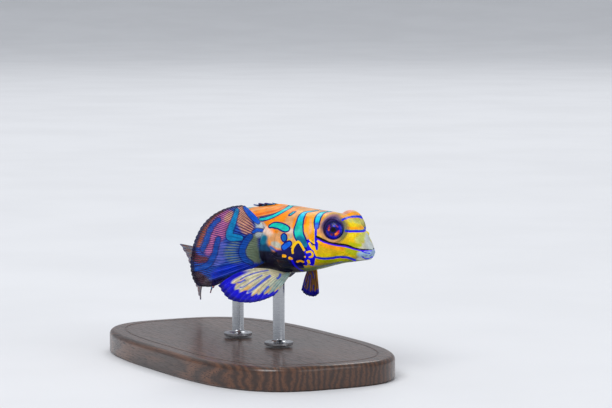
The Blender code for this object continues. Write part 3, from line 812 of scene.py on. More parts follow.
def across_head(tree, points, half, lower):
    """Path of photo pixels over both sides of the head, with its gaps filled over the forehead."""
    spots = skin_spots(tree, points, half, lower)
    rows = [spots[:1]]
    for start, end in zip(spots, spots[1:]):
        count = int(np.linalg.norm((end - start)[:3]) / SPOT_GAP) + 1
        bridge = np.linspace(start, end, count + 1)[1:]
        for row in bridge[:-1]:
            row[:3] = tree.ray_cast(Vector(row[:3]) + ABOVE, -ABOVE)[0]
        rows.append(bridge)
    return [np.concatenate(rows)]


def skin_paths(tree, points, half, lower=0.0, far=False):
    """Where a path of photo pixels falls on the near side, mirrored too, or only on the far side."""
    spots = skin_spots(tree, points, half, lower)
    if not len(spots):
        return []
    distance, out, up = body_places(spots[:, :3])
    if far:
        return [spots[out <= 0.0]] if (out <= 0.0).any() else []
    near = out > -MIDDLE_OVERLAP
    mirrored = [
        (*place_at(*place), width)
        for place, width in zip(zip(distance[near], -out[near], up[near]), spots[near, 3])
    ]
    return [spots[near], np.array(mirrored)] if near.any() else []


def body_path(points, side):
    """Path through (mm behind the lips, degrees round the body, half width in mm)."""
    dense = smooth_path(points, BODY_PATH_STEP)
    spots = [(*surface_point(place * MM, degrees, side), half * MM) for place, degrees, half in dense]
    return np.array(spots)


def inside(points, paths):
    """How deep each point lies inside the nearest path, in mm, or below 0 outside."""
    depth = np.full(len(points), -PATH_REACH)
    for path in paths:
        margin = PATH_REACH + path[:, 3].max()
        low = path[:, :3].min(0) - margin
        high = path[:, :3].max(0) + margin
        near = np.flatnonzero(((points > low) & (points < high)).all(1))
        if not len(near):
            continue
        for start in range(0, len(path), 16):
            part = path[start : start + 16]
            gap = np.linalg.norm(points[near, None] - part[None, :, :3], axis=2)
            depth[near] = np.maximum(depth[near], (part[:, 3] - gap).max(1))
    return depth / MM


def wash(colours, colour, share):
    """Lay a colour over others by a share for each point."""
    colours += (np.array(colour) - colours) * share[:, None]


# Layers of markings, each with its own edge on the skin
MARKING_LAYERS = ("turquoise", "navy", "royal", "violet", "blue", "teal", "dark", "yellow", "amber")

# Markings traced from the photograph, in its pixels: (x, y) or (x, y, half width), some with a
# half width of its whole path before it
BROW_LINE = (0.85, ((342.2, 219.6), (345, 218.2), (349, 217), (353, 216.4), (358, 216.2), (362, 217.4)))
HEAD_LINES = (
    BROW_LINE,
    (0.95, ((345.8, 230.6), (350, 230.8), (355, 230.8), (361, 230.8), (364, 230.4), (366, 228.2))),
    (
        0.95,
        (
            (313.5, 254), (317, 257), (323, 258.3), (330, 258), (337, 257), (345, 256.8), (350, 258),
            (355, 259.6),
        ),
    ),
)
EYE_STRIPE = (
    (316.6, 236.8, 1.0), (320, 238.4, 1.2), (324, 240.4, 1.2), (331, 242.8, 1.0), (339, 244.2, 1.1),
    (347, 245.4, 1.0), (354, 247.8, 0.8), (361, 249.4, 0.7), (366, 249.6, 0.6), (372, 249.6, 0.5),
)
LIP_LINES = (
    (0.7, ((362, 256.6), (365, 258.4), (368.5, 258.6), (372, 256.8))),
    (0.5, ((361, 250.6), (365, 252.6), (370, 253.4))),
)
NAPE_BANDS = (
    (
        (331, 211.6, 0.8), (326, 211.8, 1.1), (321.5, 213.2, 1.9), (318.4, 217, 2.2), (317, 222, 1.9),
        (316.6, 227, 1.3),
    ),
    (
        (317, 210.6, 0.6), (311, 211.3, 1.0), (305, 212.5, 1.6), (301.7, 216, 2.6), (299.8, 222, 3.0),
        (298.5, 229, 3.9), (299, 235, 4.1), (302, 240.5, 3.4), (305, 245, 2.4),
    ),
)
NAPE_BLUE = (
    (1.2, ((316.4, 222), (316, 228), (315.8, 236), (316, 241), (316.6, 249))),
    (1.4, ((308.4, 240.4), (311, 246), (313.4, 251), (314, 256), (312, 260), (312.4, 264.6))),
    (1.3, ((305, 250.5), (306.4, 256), (305.6, 261), (306, 265))),
    (1.2, ((309.6, 258.6), (311, 264.6))),
    (1.3, ((291, 258), (293.6, 263.5), (298, 268.3), (303, 271))),
)
JAW_LINE = ((308, 264), (313, 265.6), (320, 266.2), (327, 265.6), (334, 263.8), (342, 261.5))
GILL_NAVY = (
    ((303, 241, 2.4), (300.6, 245.4, 5.0), (300.4, 250.8, 7.6), (301, 256, 8.0), (302, 261, 6.6)),
    ((311.4, 241.6, 1.8), (314.6, 245, 1.6)),
    ((290, 251, 3.6), (291, 256, 5.0), (294, 262, 5.6), (300, 267, 4.4)),
)
GILL_ROYAL = (
    ((307.4, 243.6, 2.4), (310.4, 249.6, 3.4), (311.6, 255, 4.0), (310.6, 261, 4.2), (311.4, 263.4, 3.2)),
    ((316, 238.4, 1.4), (316.4, 244, 1.7), (317, 249, 1.0)),
)
GILL_YELLOW = (
    (
        1.2,
        (
            (292.7, 252.8), (292.5, 249.5), (294.2, 245.3), (297.9, 241.8), (299.9, 243),
            (302.1, 246.5), (303.9, 250),
        ),
    ),
    (1.1, ((307, 252.2), (310.6, 251.5), (312.6, 253.8), (312.1, 256.4), (309.8, 257.2))),
    (1.2, ((309.4, 243.4), (311.8, 247.6), (314.6, 250.4), (315.8, 253.6), (317, 255.6))),
    (1.2, ((313.8, 246.6), (314.6, 249.4))),
    (0.9, ((309.8, 239.8), (314.2, 243.2))),
    (0.9, ((317.6, 241.2), (320.6, 243))),
    (0.9, ((304.8, 256.8), (305, 257.0))),
    (1.5, ((308.4, 260.8), (309.2, 263.2))),
)
GILL_AMBER = (
    (1.3, ((297.4, 261.8), (300, 260.9), (303.2, 261.9))),
    (1.7, ((283.4, 255.8), (285, 256))),
    (1.5, ((289.6, 258.0), (291.4, 258.6))),
)
TRUNK_BANDS = (
    (
        TURQUOISE,
        (
            (291.5, 205.4, 1.8), (287, 208.6, 2.2), (281, 212, 2.1), (273.3, 216, 1.8), (265.6, 218.6, 1.6),
            (259.5, 219.4, 1.2),
        ),
    ),
    (
        SEA_GREEN,
        (
            (270, 226.2, 0.8), (274, 225, 2.0), (280, 226, 2.8), (285, 228.3, 2.9),
            (287.4, 229.2, 1.8),
        ),
    ),
    (TURQUOISE, ((290.5, 214.5, 0.9), (294, 212, 0.8))),
    (OCEAN, ((283.8, 237.0, 2.6), (284.2, 238.2, 2.6))),
    (AZURE, ((283.8, 247.6, 2.2), (286.6, 245.4, 2.4), (289.4, 243.6, 1.8))),
)
# Soft-edged grounds under the markings: paint, softness and path, in pixels
BAND_TINTS = (
    (CYAN, 2.0, ((308, 212, 3), (302, 215, 4), (300.5, 219, 4))),
    (SEA_GREEN, 2.5, ((299, 225, 5), (297.5, 233, 5))),
    (DEEP_TEAL, 2.5, ((300, 240, 4), (305, 244, 4), (308, 248, 3))),
    (CYAN, 2.0, ((318.6, 214, 2.5), (318, 219, 2.5))),
    (AZURE, 2.0, ((316.6, 224.6, 2.5), (316, 230, 2.5))),
    (AQUA, 2.0, ((286, 209.4, 2), (280, 212.6, 2.4), (275, 215, 2))),
    (DEEP_TEAL, 2.0, ((268, 217.8, 1.6), (259, 219.6, 2.4))),
)
HEAD_GROUNDS = (
    (PINK_PEACH, 3.0, ((322, 213, 3), (334, 212, 5), (345, 211, 5), (354, 209, 5), (361, 210, 4))),
    (
        GOLD_ORANGE, 1.2,
        (
            (339.6, 217.6, 1.4), (344, 216.4, 1.5), (350, 214.4, 1.6), (355, 213.6, 1.8),
            (361, 215, 1.6),
        ),
    ),
    (LEMON, 1.6, ((344, 225, 4), (351, 223, 5.5), (358, 223.4, 5.5), (364, 224, 4.6))),
    (PALE_LEMON, 2.2, ((351, 221, 2.0), (357, 221.4, 3), (363, 222, 3))),
    (GOLD, 1.2, ((345, 221.6, 1.4), (346, 226, 2.2))),
    (GOLD_ORANGE, 1.2, ((346.6, 227.8, 1.0), (355, 228.2, 1.3), (363, 227, 1.2))),
    (LEMON, 2.5, ((345, 236, 4), (352, 237, 5), (361, 237, 6))),
    (GOLD, 2.0, ((344, 238, 3), (349, 240.5, 3.5), (355, 243, 3))),
    (YELLOW_GREEN, 2.0, ((350, 243.6, 1.2), (356, 245.4, 1.6), (360, 245, 1.8))),
    (PALE_LEMON, 2.5, ((358, 240, 2.6), (362, 238, 3.6), (365, 235, 3.0))),
    # Grey front of the snout, partly its own colour, partly a painted highlight
    (SNOUT_GREY, 3.0, ((367.6, 235, 2.4), (368, 241, 3.6), (368.6, 247, 3.6))),
    (GOLD, 2.0, ((318, 247, 5), (328, 250.5, 6.5), (340, 251.5, 5.5), (349, 252.5, 3.5))),
    (GOLD_ORANGE, 1.6, ((318.5, 241.6, 2), (326, 245.2, 2), (334, 247.4, 1.8), (343, 248.6, 1.4))),
    (LEMON, 2.0, ((320, 255, 1.2), (330, 254.8, 1.4), (342, 254, 1.6), (350, 254, 1.8))),
    (YELLOW_GREEN, 2.5, ((348, 250.5, 2), (353, 252.5, 3), (357, 253.0, 3))),
    (LIP_BLUE, 2.5, ((360, 254.6, 2.2), (366, 254.6, 3.4), (372, 254, 4))),
    # Painted highlight on the lower lip
    (WHITISH, 1.4, ((358, 258.8, 0.9), (363, 258.8, 1.3))),
    (YELLOW_GREEN, 1.4, ((316, 260.6, 2.4), (325, 261.3, 2.8), (336, 260.4, 2.6), (348, 260.4, 1.6))),
    (GOLD, 1.2, ((314.8, 260.4, 1.4), (318, 261.4, 1.4))),
    (CHIN_OLIVE, 1.6, ((302, 268.2, 1.6), (310, 269.0, 3.0), (320, 269, 3), (334, 266.4, 2))),
    (PEACH, 1.6, ((312, 212.6, 1.4), (320, 211.6, 1.2), (304, 210.6, 1.4))),
    (GOLD_ORANGE, 1.3, ((313, 215.5, 2.4), (309, 219.6, 4.6), (308, 228, 5), (309, 237, 4.6))),
    (PEACH, 1.3, ((310.8, 219, 0.7), (310.6, 226, 0.9), (310, 233, 0.8))),
    (DEEP_ORANGE, 1.2, ((306.4, 217, 0.8), (304.6, 224, 0.9))),
    (PEACH, 1.4, ((305.6, 233.6, 1.2), (307, 237, 1.2))),
    (GOLD_ORANGE, 1.2, ((323.6, 215, 1.4), (321, 220, 1.2), (319.4, 227, 1.0), (318.8, 233, 1.0))),
    (PALE_ORANGE, 1.4, ((321.6, 229, 1.2), (320.8, 234, 1.8))),
)
TRUNK_GROUNDS = (
    (PEACH, 3.0, ((297, 209, 3), (293, 215, 5), (290, 224, 6), (292, 232, 5), (294, 239, 2))),
    (ORANGE, 1.6, ((295.6, 219, 1.8), (294.0, 226, 1.6), (293.0, 231, 1.0))),
    (WHITISH, 2.4, ((290.6, 230, 1.6), (290, 236, 1.8))),
    (PEACH, 3.0, ((266, 232, 4), (272, 236, 5), (279, 236, 4), (287, 234, 3))),
    (
        PEACH, 1.4,
        (
            (296, 206.6, 1.2), (287, 205.2, 1.2), (276, 206.4, 1.2), (262, 208.6, 1.4),
            (252, 211, 1.6),
        ),
    ),
    (DEEP_ORANGE, 0.8, ((285.5, 206.4, 1.5), (276, 210.2, 1.9), (266, 212.8, 1.9), (254, 215, 1.8))),
    (EYE_PURPLE, 0.8, ((283, 210.0, 0.5), (275, 213.2, 0.6), (266, 215.6, 0.7), (257, 217.4, 0.6))),
    (
        ORANGE, 1.0,
        (
            (298.6, 207.6, 1.4), (289, 213.2, 1.8), (279, 218.6, 2.0), (266.6, 222.0, 1.6),
            (262, 224, 1.0),
        ),
    ),
    (ORANGE, 1.4, ((267.0, 225, 1.2), (269.4, 229.6, 1.6), (277, 232.0, 1.0))),
    (TEAL_GREY, 3.0, ((257, 234, 4), (260, 240, 4), (258, 247, 5))),
    (TEAL_GREY, 3.0, ((258, 232, 3), (262, 236, 4), (263, 243, 4))),
    (DARK_TEAL, 3.0, ((258, 247, 5), (263, 247.6, 5), (269, 251, 3.6), (264, 258, 6))),
    (PALE_ROSE, 1.0, ((259, 218, 0.5), (262.4, 222, 0.8), (266, 227.6, 1.0))),
    (PALE_ROSE, 4.0, ((263, 228, 1.6), (266.6, 231, 2.4), (270, 233, 1.8))),
    (PALE_ROSE, 1.8, ((288, 231.4, 1.8), (292, 231, 1.8))),
    (DEEP_TEAL, 1.8, ((264.4, 238.2, 2.6), (262.6, 241.6, 2.6))),
    # Painted highlight: a pale grey sheen low on the flank near the gill opening
    (WHITISH, 1.6, ((272.4, 243.6, 1.6), (276.4, 244.6, 2.8), (280.6, 246.6, 1.6))),
    (OCEAN, 1.6, ((270.6, 247.0, 1.0), (272.4, 248.4, 1.3), (275.4, 250.2, 0.9))),
    (ROYAL_BLUE, 1.6, ((276.4, 251.4, 1.0), (281.4, 252.0, 1.0))),
    # The three near-black patches that follow are painted shade: low on the flank between the fan and the
    # pelvic fins, where the belly is in shadow
    (
        NIGHT, 3.0,
        (
            (256, 257, 5), (266, 257.4, 5.0), (273, 257.6, 5.6), (281, 258, 6.4), (290, 259, 7.0),
            (297, 266, 5),
        ),
    ),
    (NIGHT, 3.0, ((256, 264, 5), (262, 264, 5), (270, 266, 6), (282, 268, 6), (293, 271, 5))),
    (NIGHT, 2.0, ((256, 254, 3), (263, 254, 3), (270, 254.4, 2.6), (278, 254.4, 2.0))),
    (NAVY, 2.0, ((279, 252.4, 1.6), (285, 252.0, 2.2), (290, 250.6, 3.0))),
)
# Fan bands and the colours of its rays and of the skin between them, in pixels
FAN_BANDS = (
    (AZURE, ((246, 207.4, 2.8), (250, 213, 3.2), (254, 218, 2.8), (258, 222, 1.8))),
    (
        FAN_CYAN,
        (
            (237, 210.5, 1.9), (235.4, 216, 2.2), (233, 223, 2.6), (230, 231, 3.0), (230.0, 236.6, 3.6),
            (235, 237.4, 3.5), (240.6, 237.8, 2.6),
        ),
    ),
    (
        FAN_BLUE,
        (
            (219, 219.5, 1.6), (212.5, 226, 2.2), (208.4, 234, 2.2), (206, 242, 2.2),
            (202.5, 250, 1.8),
        ),
    ),
    (
        FAN_BLUE,
        (
            (218.4, 239, 2.4), (216, 246, 2.4), (214, 255, 2.4), (209, 263.6, 2.5), (202, 267.6, 2.4),
            (195, 269, 2.2),
        ),
    ),
    (AZURE, ((253, 232.2, 0.9), (257, 230, 1.5), (262, 230.4, 1.3))),
    (
        FAN_BLUE,
        (
            (250, 236.4, 2.4), (246.4, 241, 2.7), (242.6, 248, 2.8), (242.2, 254, 2.8),
            (245.6, 259.6, 2.5), (251.6, 263, 1.8),
        ),
    ),
)
FAN_GROUNDS = (
    (FAN_PEACH, FAN_MAUVE, 2.4, ((242, 210, 4), (243, 219, 6), (247, 228, 6))),
    (
        FAN_PINK, FAN_PURPLE, 3.0,
        (
            (227, 214, 4), (224, 222, 7), (219, 232, 7), (212, 244, 4), (209, 252, 3),
        ),
    ),
    (FAN_PEACH, FAN_MAUVE, 2.0, ((231, 214, 2.5), (227, 219, 2.5))),
    (FAN_LILAC, FAN_BLUE, 3.0, ((222, 246, 4), (222, 256, 4), (216, 262, 3))),
    (
        FAN_RUST, FAN_WINE, 1.5,
        (
            (222, 211.4, 1.0), (214, 217, 1.2), (207, 225.4, 1.6), (203, 233, 1.8), (200, 241, 1.8),
            (198, 246, 1.2),
        ),
    ),
    (FAN_WINE, FAN_SHADE, 2.0, ((193, 254, 3), (198, 259, 3.4), (205, 259, 2.6))),
    (FAN_GREY_GREEN, FAN_BLUE, 3.0, ((236, 244, 3), (230, 252, 5), (236, 262, 4))),
    (FAN_GREY_GREEN, FAN_GREY_GREEN, 3.0, ((254, 238, 3), (252, 246, 5), (253, 253, 6), (256, 260, 4))),
    # Whitish root of the fan: partly its own pale colour, partly painted highlight (glints on the rays)
    (FAN_FROST, FAN_FROST, 2.4, ((258.4, 221.6, 2.8), (260, 226, 3.4), (259, 234, 2.8))),
    (DARK_TEAL, DARK_TEAL, 2.0, ((262.5, 246, 2), (262, 256, 2.6))),
    (
        FAN_LOW_BLUE, FAN_LOW_BLUE, 3.0,
        (
            (256, 266, 2.5), (246, 266.6, 3), (234, 268, 4), (222, 271, 4), (214, 275, 3),
        ),
    ),
    (NAVY, NAVY, 2.5, ((236, 276, 2), (226, 280.5, 4), (214, 283, 4))),
    (FAN_SHADE, FAN_SHADE, 2.5, ((192, 272, 3), (198, 277, 5), (206, 284, 5))),
)
FAN_EDGE = 0.945

# Blue streaks between the ray groups of the near pelvic fin, in pixels
PELVIC_STREAKS = (
    (0.6, ((268, 270.6), (258, 272.4), (247, 276), (240, 280))),
    (1.2, ((270, 276), (262, 282), (255, 287.6), (248.6, 292))),
    (1.2, ((280.4, 274.4), (279.6, 276.6), (277.4, 278.6))),
    (0.9, ((268.4, 286.6), (264.4, 290.6), (262, 293.6))),
    (0.8, ((245, 280), (241, 282), (237.6, 283))),
    (0.5, ((262, 275.4), (252, 281.4), (244, 286.6), (240, 287.6))),
)


# Bands down the flank: how many, place of the first and their spacing in mm behind the lips,
# half width of the first and what each next one loses, swing of their waves, all in mm, degrees
# round the body at which they start and end, and how many of their points a short one keeps
FLANK_BANDS = 8
FLANK_START = 22.6
FLANK_SPACING = 3.7
FLANK_WIDTH = 0.62
FLANK_NARROWING = 0.032
FLANK_WAVE = 1.15
FLANK_DEGREES = (90.0, -50.0)
FLANK_SHORT = 9

# Dash between two bands: points as mm behind its middle and half width in mm, and how far its
# middle lies behind the band before it, in mm
FLANK_DASH = ((-0.5, 0.35), (0.0, 0.5), (0.5, 0.35))
FLANK_DASH_PLACE = 1.9


def flank_bands():
    """Wavy bands down the flank behind the fan, every third one short, and dashes between them."""
    bands = []
    for index in range(FLANK_BANDS):
        start = FLANK_START + FLANK_SPACING * index
        size = FLANK_WIDTH - FLANK_NARROWING * index
        points = []
        for degrees in np.arange(*FLANK_DEGREES, -10.0):
            wave = FLANK_WAVE * math.sin(math.radians(2.3 * degrees + 97.0 * index))
            lean = (90.0 - degrees) * (0.018 if index % 2 else -0.006)
            fade = 1.0 - 0.45 * blend(-5.0, -45.0, degrees)
            points.append((start + wave * blend(90.0, 55.0, degrees) + lean, degrees, size * fade))
        bands.append(points[:FLANK_SHORT] if index % 3 == 1 else points)
        middle = start + FLANK_DASH_PLACE
        level = -18.0 + 31.0 * (index % 3)
        bands.append([(middle + shift, level - 18.0 * shift, half) for shift, half in FLANK_DASH])
    return bands


def belly_lines():
    """Blue lines along the belly, broken and slightly wavy."""
    lines = []
    for index, degrees in enumerate((-52.0, -66.0, -80.0)):
        for part in range(3):
            start = 20.5 + 9.4 * part + 2.3 * index
            places = np.linspace(start, start + 6.6, 7)
            lines.append([(place, degrees + 4.0 * math.sin(1.3 * place + index), 0.26) for place in places])
    return lines


# Washes over the orange of the body: paint, its share, then from none to all of it: the degrees
# round the body, the mm behind the lips where it sets in and, from all to none, where it ends
GROUND_WASHES = (
    (DEEP_ORANGE, 0.5, None, (30.0, 46.0), None),
    (PALE_ORANGE, 0.8, (-38.0, -62.0), (18.0, 24.0), None),
    (GOLD, 1.0, None, None, (10.5, 12.5)),
    (PALE_ORANGE, 1.0, (30.0, 60.0), (5.5, 8.0), (11.0, 13.0)),
    (PEACH, 1.0, (58.0, 84.0), (3.0, 5.0), (12.0, 14.0)),
    (CHIN_OLIVE, 1.0, (-40.0, -62.0), None, (10.0, 12.0)),
    # Grey tip of the snout, in a grey lightened partly by a painted highlight
    (SNOUT_GREY, 0.8, None, None, (0.6, 2.0)),
    # Near-black low on the flank behind the head: partly the body's own dark colour, partly painted shade
    # under the belly
    (NIGHT, 1.0, (-20.0, -34.0), (9.6, 11.2), (18.0, 23.0)),
    (TEAL_GREY, 0.6, (-66.0, -88.0), (9.6, 11.2), (18.0, 23.0)),
)


def body_ground(distance, degrees):
    """Ground colour from the place on the body: yellow head, orange trunk, dark throat partly as painted
    shade, pale belly.
    """
    colours = np.empty((len(distance), 4))
    colours[:] = ORANGE
    rear = distance / MM
    ripple = 0.5 + 0.5 * np.sin(rear * 1.1 + degrees * 0.06)
    wash(colours, PEACH, 0.35 * blend(0.2, 0.9, ripple))
    for colour, most, around, start, end in GROUND_WASHES:
        share = np.full(len(rear), most)
        if around:
            share *= blend(*around, degrees)
        if start:
            share *= blend(*start, rear)
        if end:
            share *= 1 - blend(*end, rear)
        wash(colours, colour, share)
    return colours


def eye_surround(points, colours):
    """Dark rim and mauve skin round each eye."""
    for side in (RIGHT, LEFT):
        sideways, upward, outward = [np.array(axis) for axis in eye_axes(side)]
        offset = (points - np.array(place_at(*EYE_CENTRE, side))) / MM
        across = np.hypot(offset @ sideways, offset @ upward)
        near = (offset @ outward > -0.4) * (np.abs(offset @ outward) < 2.5)
        high = blend(-1.2, 1.0, offset @ upward)
        ahead = blend(0.3, 1.5, -(offset @ sideways) * side)
        # Paint, its share, and the mm from the eye's middle between which it fades in
        rings = (
            (MAUVE, (0.25 + 0.7 * high) * (1 - 0.8 * ahead), 2.70, 2.00),
            (PEACH, 0.75 * (1 - high) * (1 - ahead), 2.35, 1.95),
            (EYE_OLIVE, 0.8 * ahead, 2.25, 1.85),
            (EYE_PURPLE, (1 - 0.7 * ahead) * high, 2.15, 1.70),
            (EYE_PURPLE, 1.0, 1.80, 1.50),
        )
        for colour, share, outer, inner in rings:
            wash(colours, colour, near * share * blend(outer, inner, across))


def lateral_line(start, step):
    """Places of the lateral line every so many mm behind the lips: mm and degrees round the body."""
    return [(place, 26.0 - 0.42 * (place - 14.0)) for place in np.arange(start, 50.0, step)]


# Creases in the skin: depth in mm, and a path of mm behind the lips, degrees and half width in mm
CREASES = (
    (0.05, [(*place, 0.13) for place in lateral_line(14.0, 2.0)]),
    (0.10, [(2.5, -30.0, 0.10), (3.3, -38.0, 0.14), (4.2, -47.0, 0.08)]),
    (0.06, [(3.4, -24.0, 0.08), (4.4, -32.0, 0.12), (5.4, -44.0, 0.08)]),
    (0.07, [(8.2, -62.0, 0.10), (10.0, -66.0, 0.16), (12.0, -66.0, 0.10)]),
    (0.06, [(8.6, 40.0, 0.10), (10.6, 42.0, 0.15), (12.8, 38.0, 0.10)]),
)
PORE_RADIUS = 0.07 * MM
PORE_RISE = 0.05 * MM


def press_creases(item):
    """Lateral line with its pores, folds at the mouth corner and throat, a crease over the gill."""
    points = vertices_of(item.data)
    normals = np.empty(len(points) * 3)
    item.data.vertices.foreach_get("normal", normals)
    shift = np.zeros(len(points))
    for depth, rows in CREASES:
        paths = [body_path(rows, side) for side in (RIGHT, LEFT)]
        shift -= depth * MM * blend(-0.22, 0.10, inside(points, paths))
    pores = []
    for place, degrees in lateral_line(14.5, 1.1):
        for side in (RIGHT, LEFT):
            pores.append(np.array([(*surface_point(place * MM, degrees, side), PORE_RADIUS)]))
    shift += PORE_RISE * blend(-0.16, 0.05, inside(points, pores))
    points += normals.reshape(-1, 3) * shift[:, None]
    item.data.vertices.foreach_set("co", points.ravel())
    item.data.update()


def soft_share(depth, softness):
    """Share of a soft-edged paint from the depth inside it, in mm, and its softness in pixels."""
    soft = softness * PIXEL / MM
    return blend(-soft, 0.5 * soft, depth)


def paint_skin(item):
    """Ground colours and the depth inside each layer of markings, stored on the skin's points."""
    points = vertices_of(item.data)
    tree = BVHTree.FromObject(item, bpy.context.evaluated_depsgraph_get())
    distance, out, up = body_places(points)
    degrees = np.degrees(np.arctan2(up, np.abs(out)))
    ground = body_ground(distance, degrees)
    # The grounds include painted shade low on the flank and painted highlights on the lip, snout and flank,
    # besides the skin's own colours
    for far in (False, True):
        for colour, softness, path in TRUNK_GROUNDS + HEAD_GROUNDS:
            depth = inside(points, skin_paths(tree, path, 1.0, far=far))
            wash(ground, colour, soft_share(depth, softness))
    eye_surround(points, ground)
    layers = {name: [] for name in MARKING_LAYERS}
    for path in NAPE_BANDS:
        layers["turquoise"] += skin_paths(tree, path, 1.0)
    for half, path in HEAD_LINES:
        for name, width, lower in (("violet", half, 0.7), ("blue", half, 0.0), ("teal", 0.6 * half, -0.5)):
            layers[name] += skin_paths(tree, path, width, lower)
            if path is BROW_LINE[1]:
                # The brow line runs on over the forehead to the other eye
                layers[name] += across_head(tree, path, width, lower)
    layers["violet"] += skin_paths(tree, EYE_STRIPE, 1.0, 1.2)
    layers["dark"] += skin_paths(tree, EYE_STRIPE, 1.0, -0.1)
    for half, path in NAPE_BLUE + LIP_LINES:
        layers["blue"] += skin_paths(tree, path, half)
    layers["violet"] += skin_paths(tree, JAW_LINE, 0.5)
    for name, paths in (("navy", GILL_NAVY), ("royal", GILL_ROYAL)):
        for path in paths:
            layers[name] += skin_paths(tree, path, 1.0)
    for name, paths in (("yellow", GILL_YELLOW), ("amber", GILL_AMBER)):
        for half, path in paths:
            layers[name] += skin_paths(tree, path, half)
    bands = np.empty((len(points), 4))
    bands[:] = TURQUOISE
    wash(bands, OCEAN, 0.75 * blend(10.0, -50.0, degrees))
    for colour, softness, path in BAND_TINTS:
        depth = inside(points, skin_paths(tree, path, 1.0))
        wash(bands, colour, soft_share(depth, softness))
    for colour, path in TRUNK_BANDS:
        paths = skin_paths(tree, path, 1.0)
        layers["turquoise"] += paths
        wash(bands, colour, blend(-0.3, -0.1, inside(points, paths)))
    for side in (RIGHT, LEFT):
        layers["turquoise"] += [body_path(path, side) for path in flank_bands()]
        layers["blue"] += [body_path(path, side) for path in belly_lines()]
    for name, paths in layers.items():
        set_attribute(item, name, inside(points, paths))
    set_attribute(item, "ground", ground)
    set_attribute(item, "bands", bands)


# Fins


class Fin:
    """Thin rayed fin: a dense sheet over functions of the place across it, 0 to 1."""

    # Faces from ray to ray and along a ray, and the start under the skin as a share of its length
    RAY_FACES = 10
    ROWS = 84
    ROOT = -0.07

    # Depth of the pleats, half the thickness of the web and what a ray adds to it, joints of a ray
    PLEAT = 0.045 * MM
    WEB_HALF = 0.055 * MM
    RAY_HALF = 0.10 * MM
    RAY_JOINTS = 26.0

    def __init__(self, rays, root, direction, length, bend, notch, fork=0.17):
        count = (rays - 1) * self.RAY_FACES + 1
        places = np.linspace(0.0, 1.0, count)
        ray_place = places * (rays - 1)
        beside = np.abs(ray_place - np.round(ray_place))
        along = np.linspace(self.ROOT, 1.0, self.ROWS + 1)
        roots = np.array([tuple(root(place)) for place in places])
        ways = np.array([tuple(direction(place)) for place in places])
        bends = np.array([tuple(bend(place)) for place in places])
        reach = np.array([length(place) for place in places])
        reach *= 1.0 - notch * np.sin(math.pi * beside) ** 2
        sheet = roots[:, None] + ways[:, None] * (reach[:, None] * along)[:, :, None]
        sheet += bends[:, None] * (np.clip(along, 0.0, 1.0) ** 2)[:, None]
        normal = np.cross(np.gradient(sheet, axis=0), np.gradient(sheet, axis=1))
        normal /= np.linalg.norm(normal, axis=2, keepdims=True)
        pleat = self.PLEAT * np.cos(math.pi * ray_place)[:, None] * blend(0.0, 0.5, along)
        sheet += normal * pleat[:, :, None]
        forks = fork * blend(0.10, 0.75, along)
        self.ray = np.exp(-(((beside[:, None] - forks) / (0.10 + 0.04 * along)) ** 2))
        joints = 1.0 + 0.12 * np.sin(along * 2 * math.pi * self.RAY_JOINTS)
        taper = 1.0 - 0.62 * np.clip(along, 0.0, 1.0)
        half = self.WEB_HALF + self.RAY_HALF * self.ray * joints * taper
        self.across = np.broadcast_to(places[:, None], half.shape)
        self.along = np.broadcast_to(along, half.shape)
        self.sheet = sheet
        self.normal = normal
        self.half = half

    def shell(self):
        """Closed shell of the sheet's two faces and its border."""
        columns, rows = self.half.shape
        lift = self.normal * self.half[:, :, None]
        points = np.concatenate([(self.sheet + lift).reshape(-1, 3), (self.sheet - lift).reshape(-1, 3)])
        index = np.arange(columns * rows).reshape(columns, rows)
        corners = [index[:-1, :-1], index[1:, :-1], index[1:, 1:], index[:-1, 1:]]
        front = np.stack(corners, axis=2).reshape(-1, 4)
        back = front[:, ::-1] + columns * rows
        border = np.concatenate([index[:, 0], index[-1, 1:], index[-2::-1, -1], index[0, -2:0:-1]])
        after = np.roll(border, -1)
        rim = np.stack([after, border, border + columns * rows, after + columns * rows], axis=1)
        return points, np.concatenate([front, back, rim]).tolist()

    def paths_at(self, corners):
        """World path through sheet corners given as (column, row, half width)."""
        return np.array([(*self.sheet[int(column), int(row)], half) for column, row, half in corners])

    def corners_under(self, points, half):
        """Sheet corners nearest to a path of photo pixels."""
        pixels = pixels_of(self.sheet.reshape(-1, 3))
        corners = []
        for x, y, width in photo_path(points, half):
            gap = np.hypot(pixels[:, 0] - x, pixels[:, 1] - y)
            if gap.min() < 2.0:
                column, row = divmod(int(gap.argmin()), self.sheet.shape[1])
                corners.append((column, row, width * PIXEL))
        return corners

    def colours(self, ray_paint, web_paint):
        """Paints of the rays and of the skin between them, one row for each point of the sheet."""
        count = self.half.size
        rays = np.tile(np.array(ray_paint), (count, 1))
        webs = np.tile(np.array(web_paint), (count, 1))
        return rays, webs

    def finish(self, name, colours, clear, material):
        """Piece of the fin, with its colours and how clear it is stored on its points."""
        item = mesh_object(name + "_rayed", self.shell(), material, (name,))
        set_attribute(item, "paint", np.concatenate([colours, colours]))
        set_attribute(item, "clear", np.concatenate([clear, clear]))


def fin_surface(fin):
    """Points of a fin's middle sheet in one list, and its values across, along and on the rays."""
    return fin.sheet.reshape(-1, 3), fin.across.ravel(), fin.along.ravel(), fin.ray.ravel()


def pectoral_fin(side):
    """Fan on the flank, its rays spread from near upright at the top to slanting down."""
    outward, ahead, spread, tilt = FAN_POSES[side]

    def root(across):
        place = FAN_ROOT + FAN_ROOT_LEAN * across
        return surface_point(place, mix(*FAN_ROOT_DEGREES, across), side, GAP + 0.1 * MM)

    def direction(across):
        angle = math.radians(smooth_value(PECTORAL_RAYS, 1, across) * spread + tilt)
        level = math.cos(angle)
        return direction_at(FAN_ROOT, ahead * level, outward * level, math.sin(angle), side)

    def length(across):
        return smooth_value(PECTORAL_RAYS, 2, across)

    def bend(across):
        return direction_at(FAN_ROOT, -1.0, 0.2, 0.0, side) * FAN_BEND

    return Fin(FAN_RAYS, root, direction, length, bend, 0.010, fork=0.25)


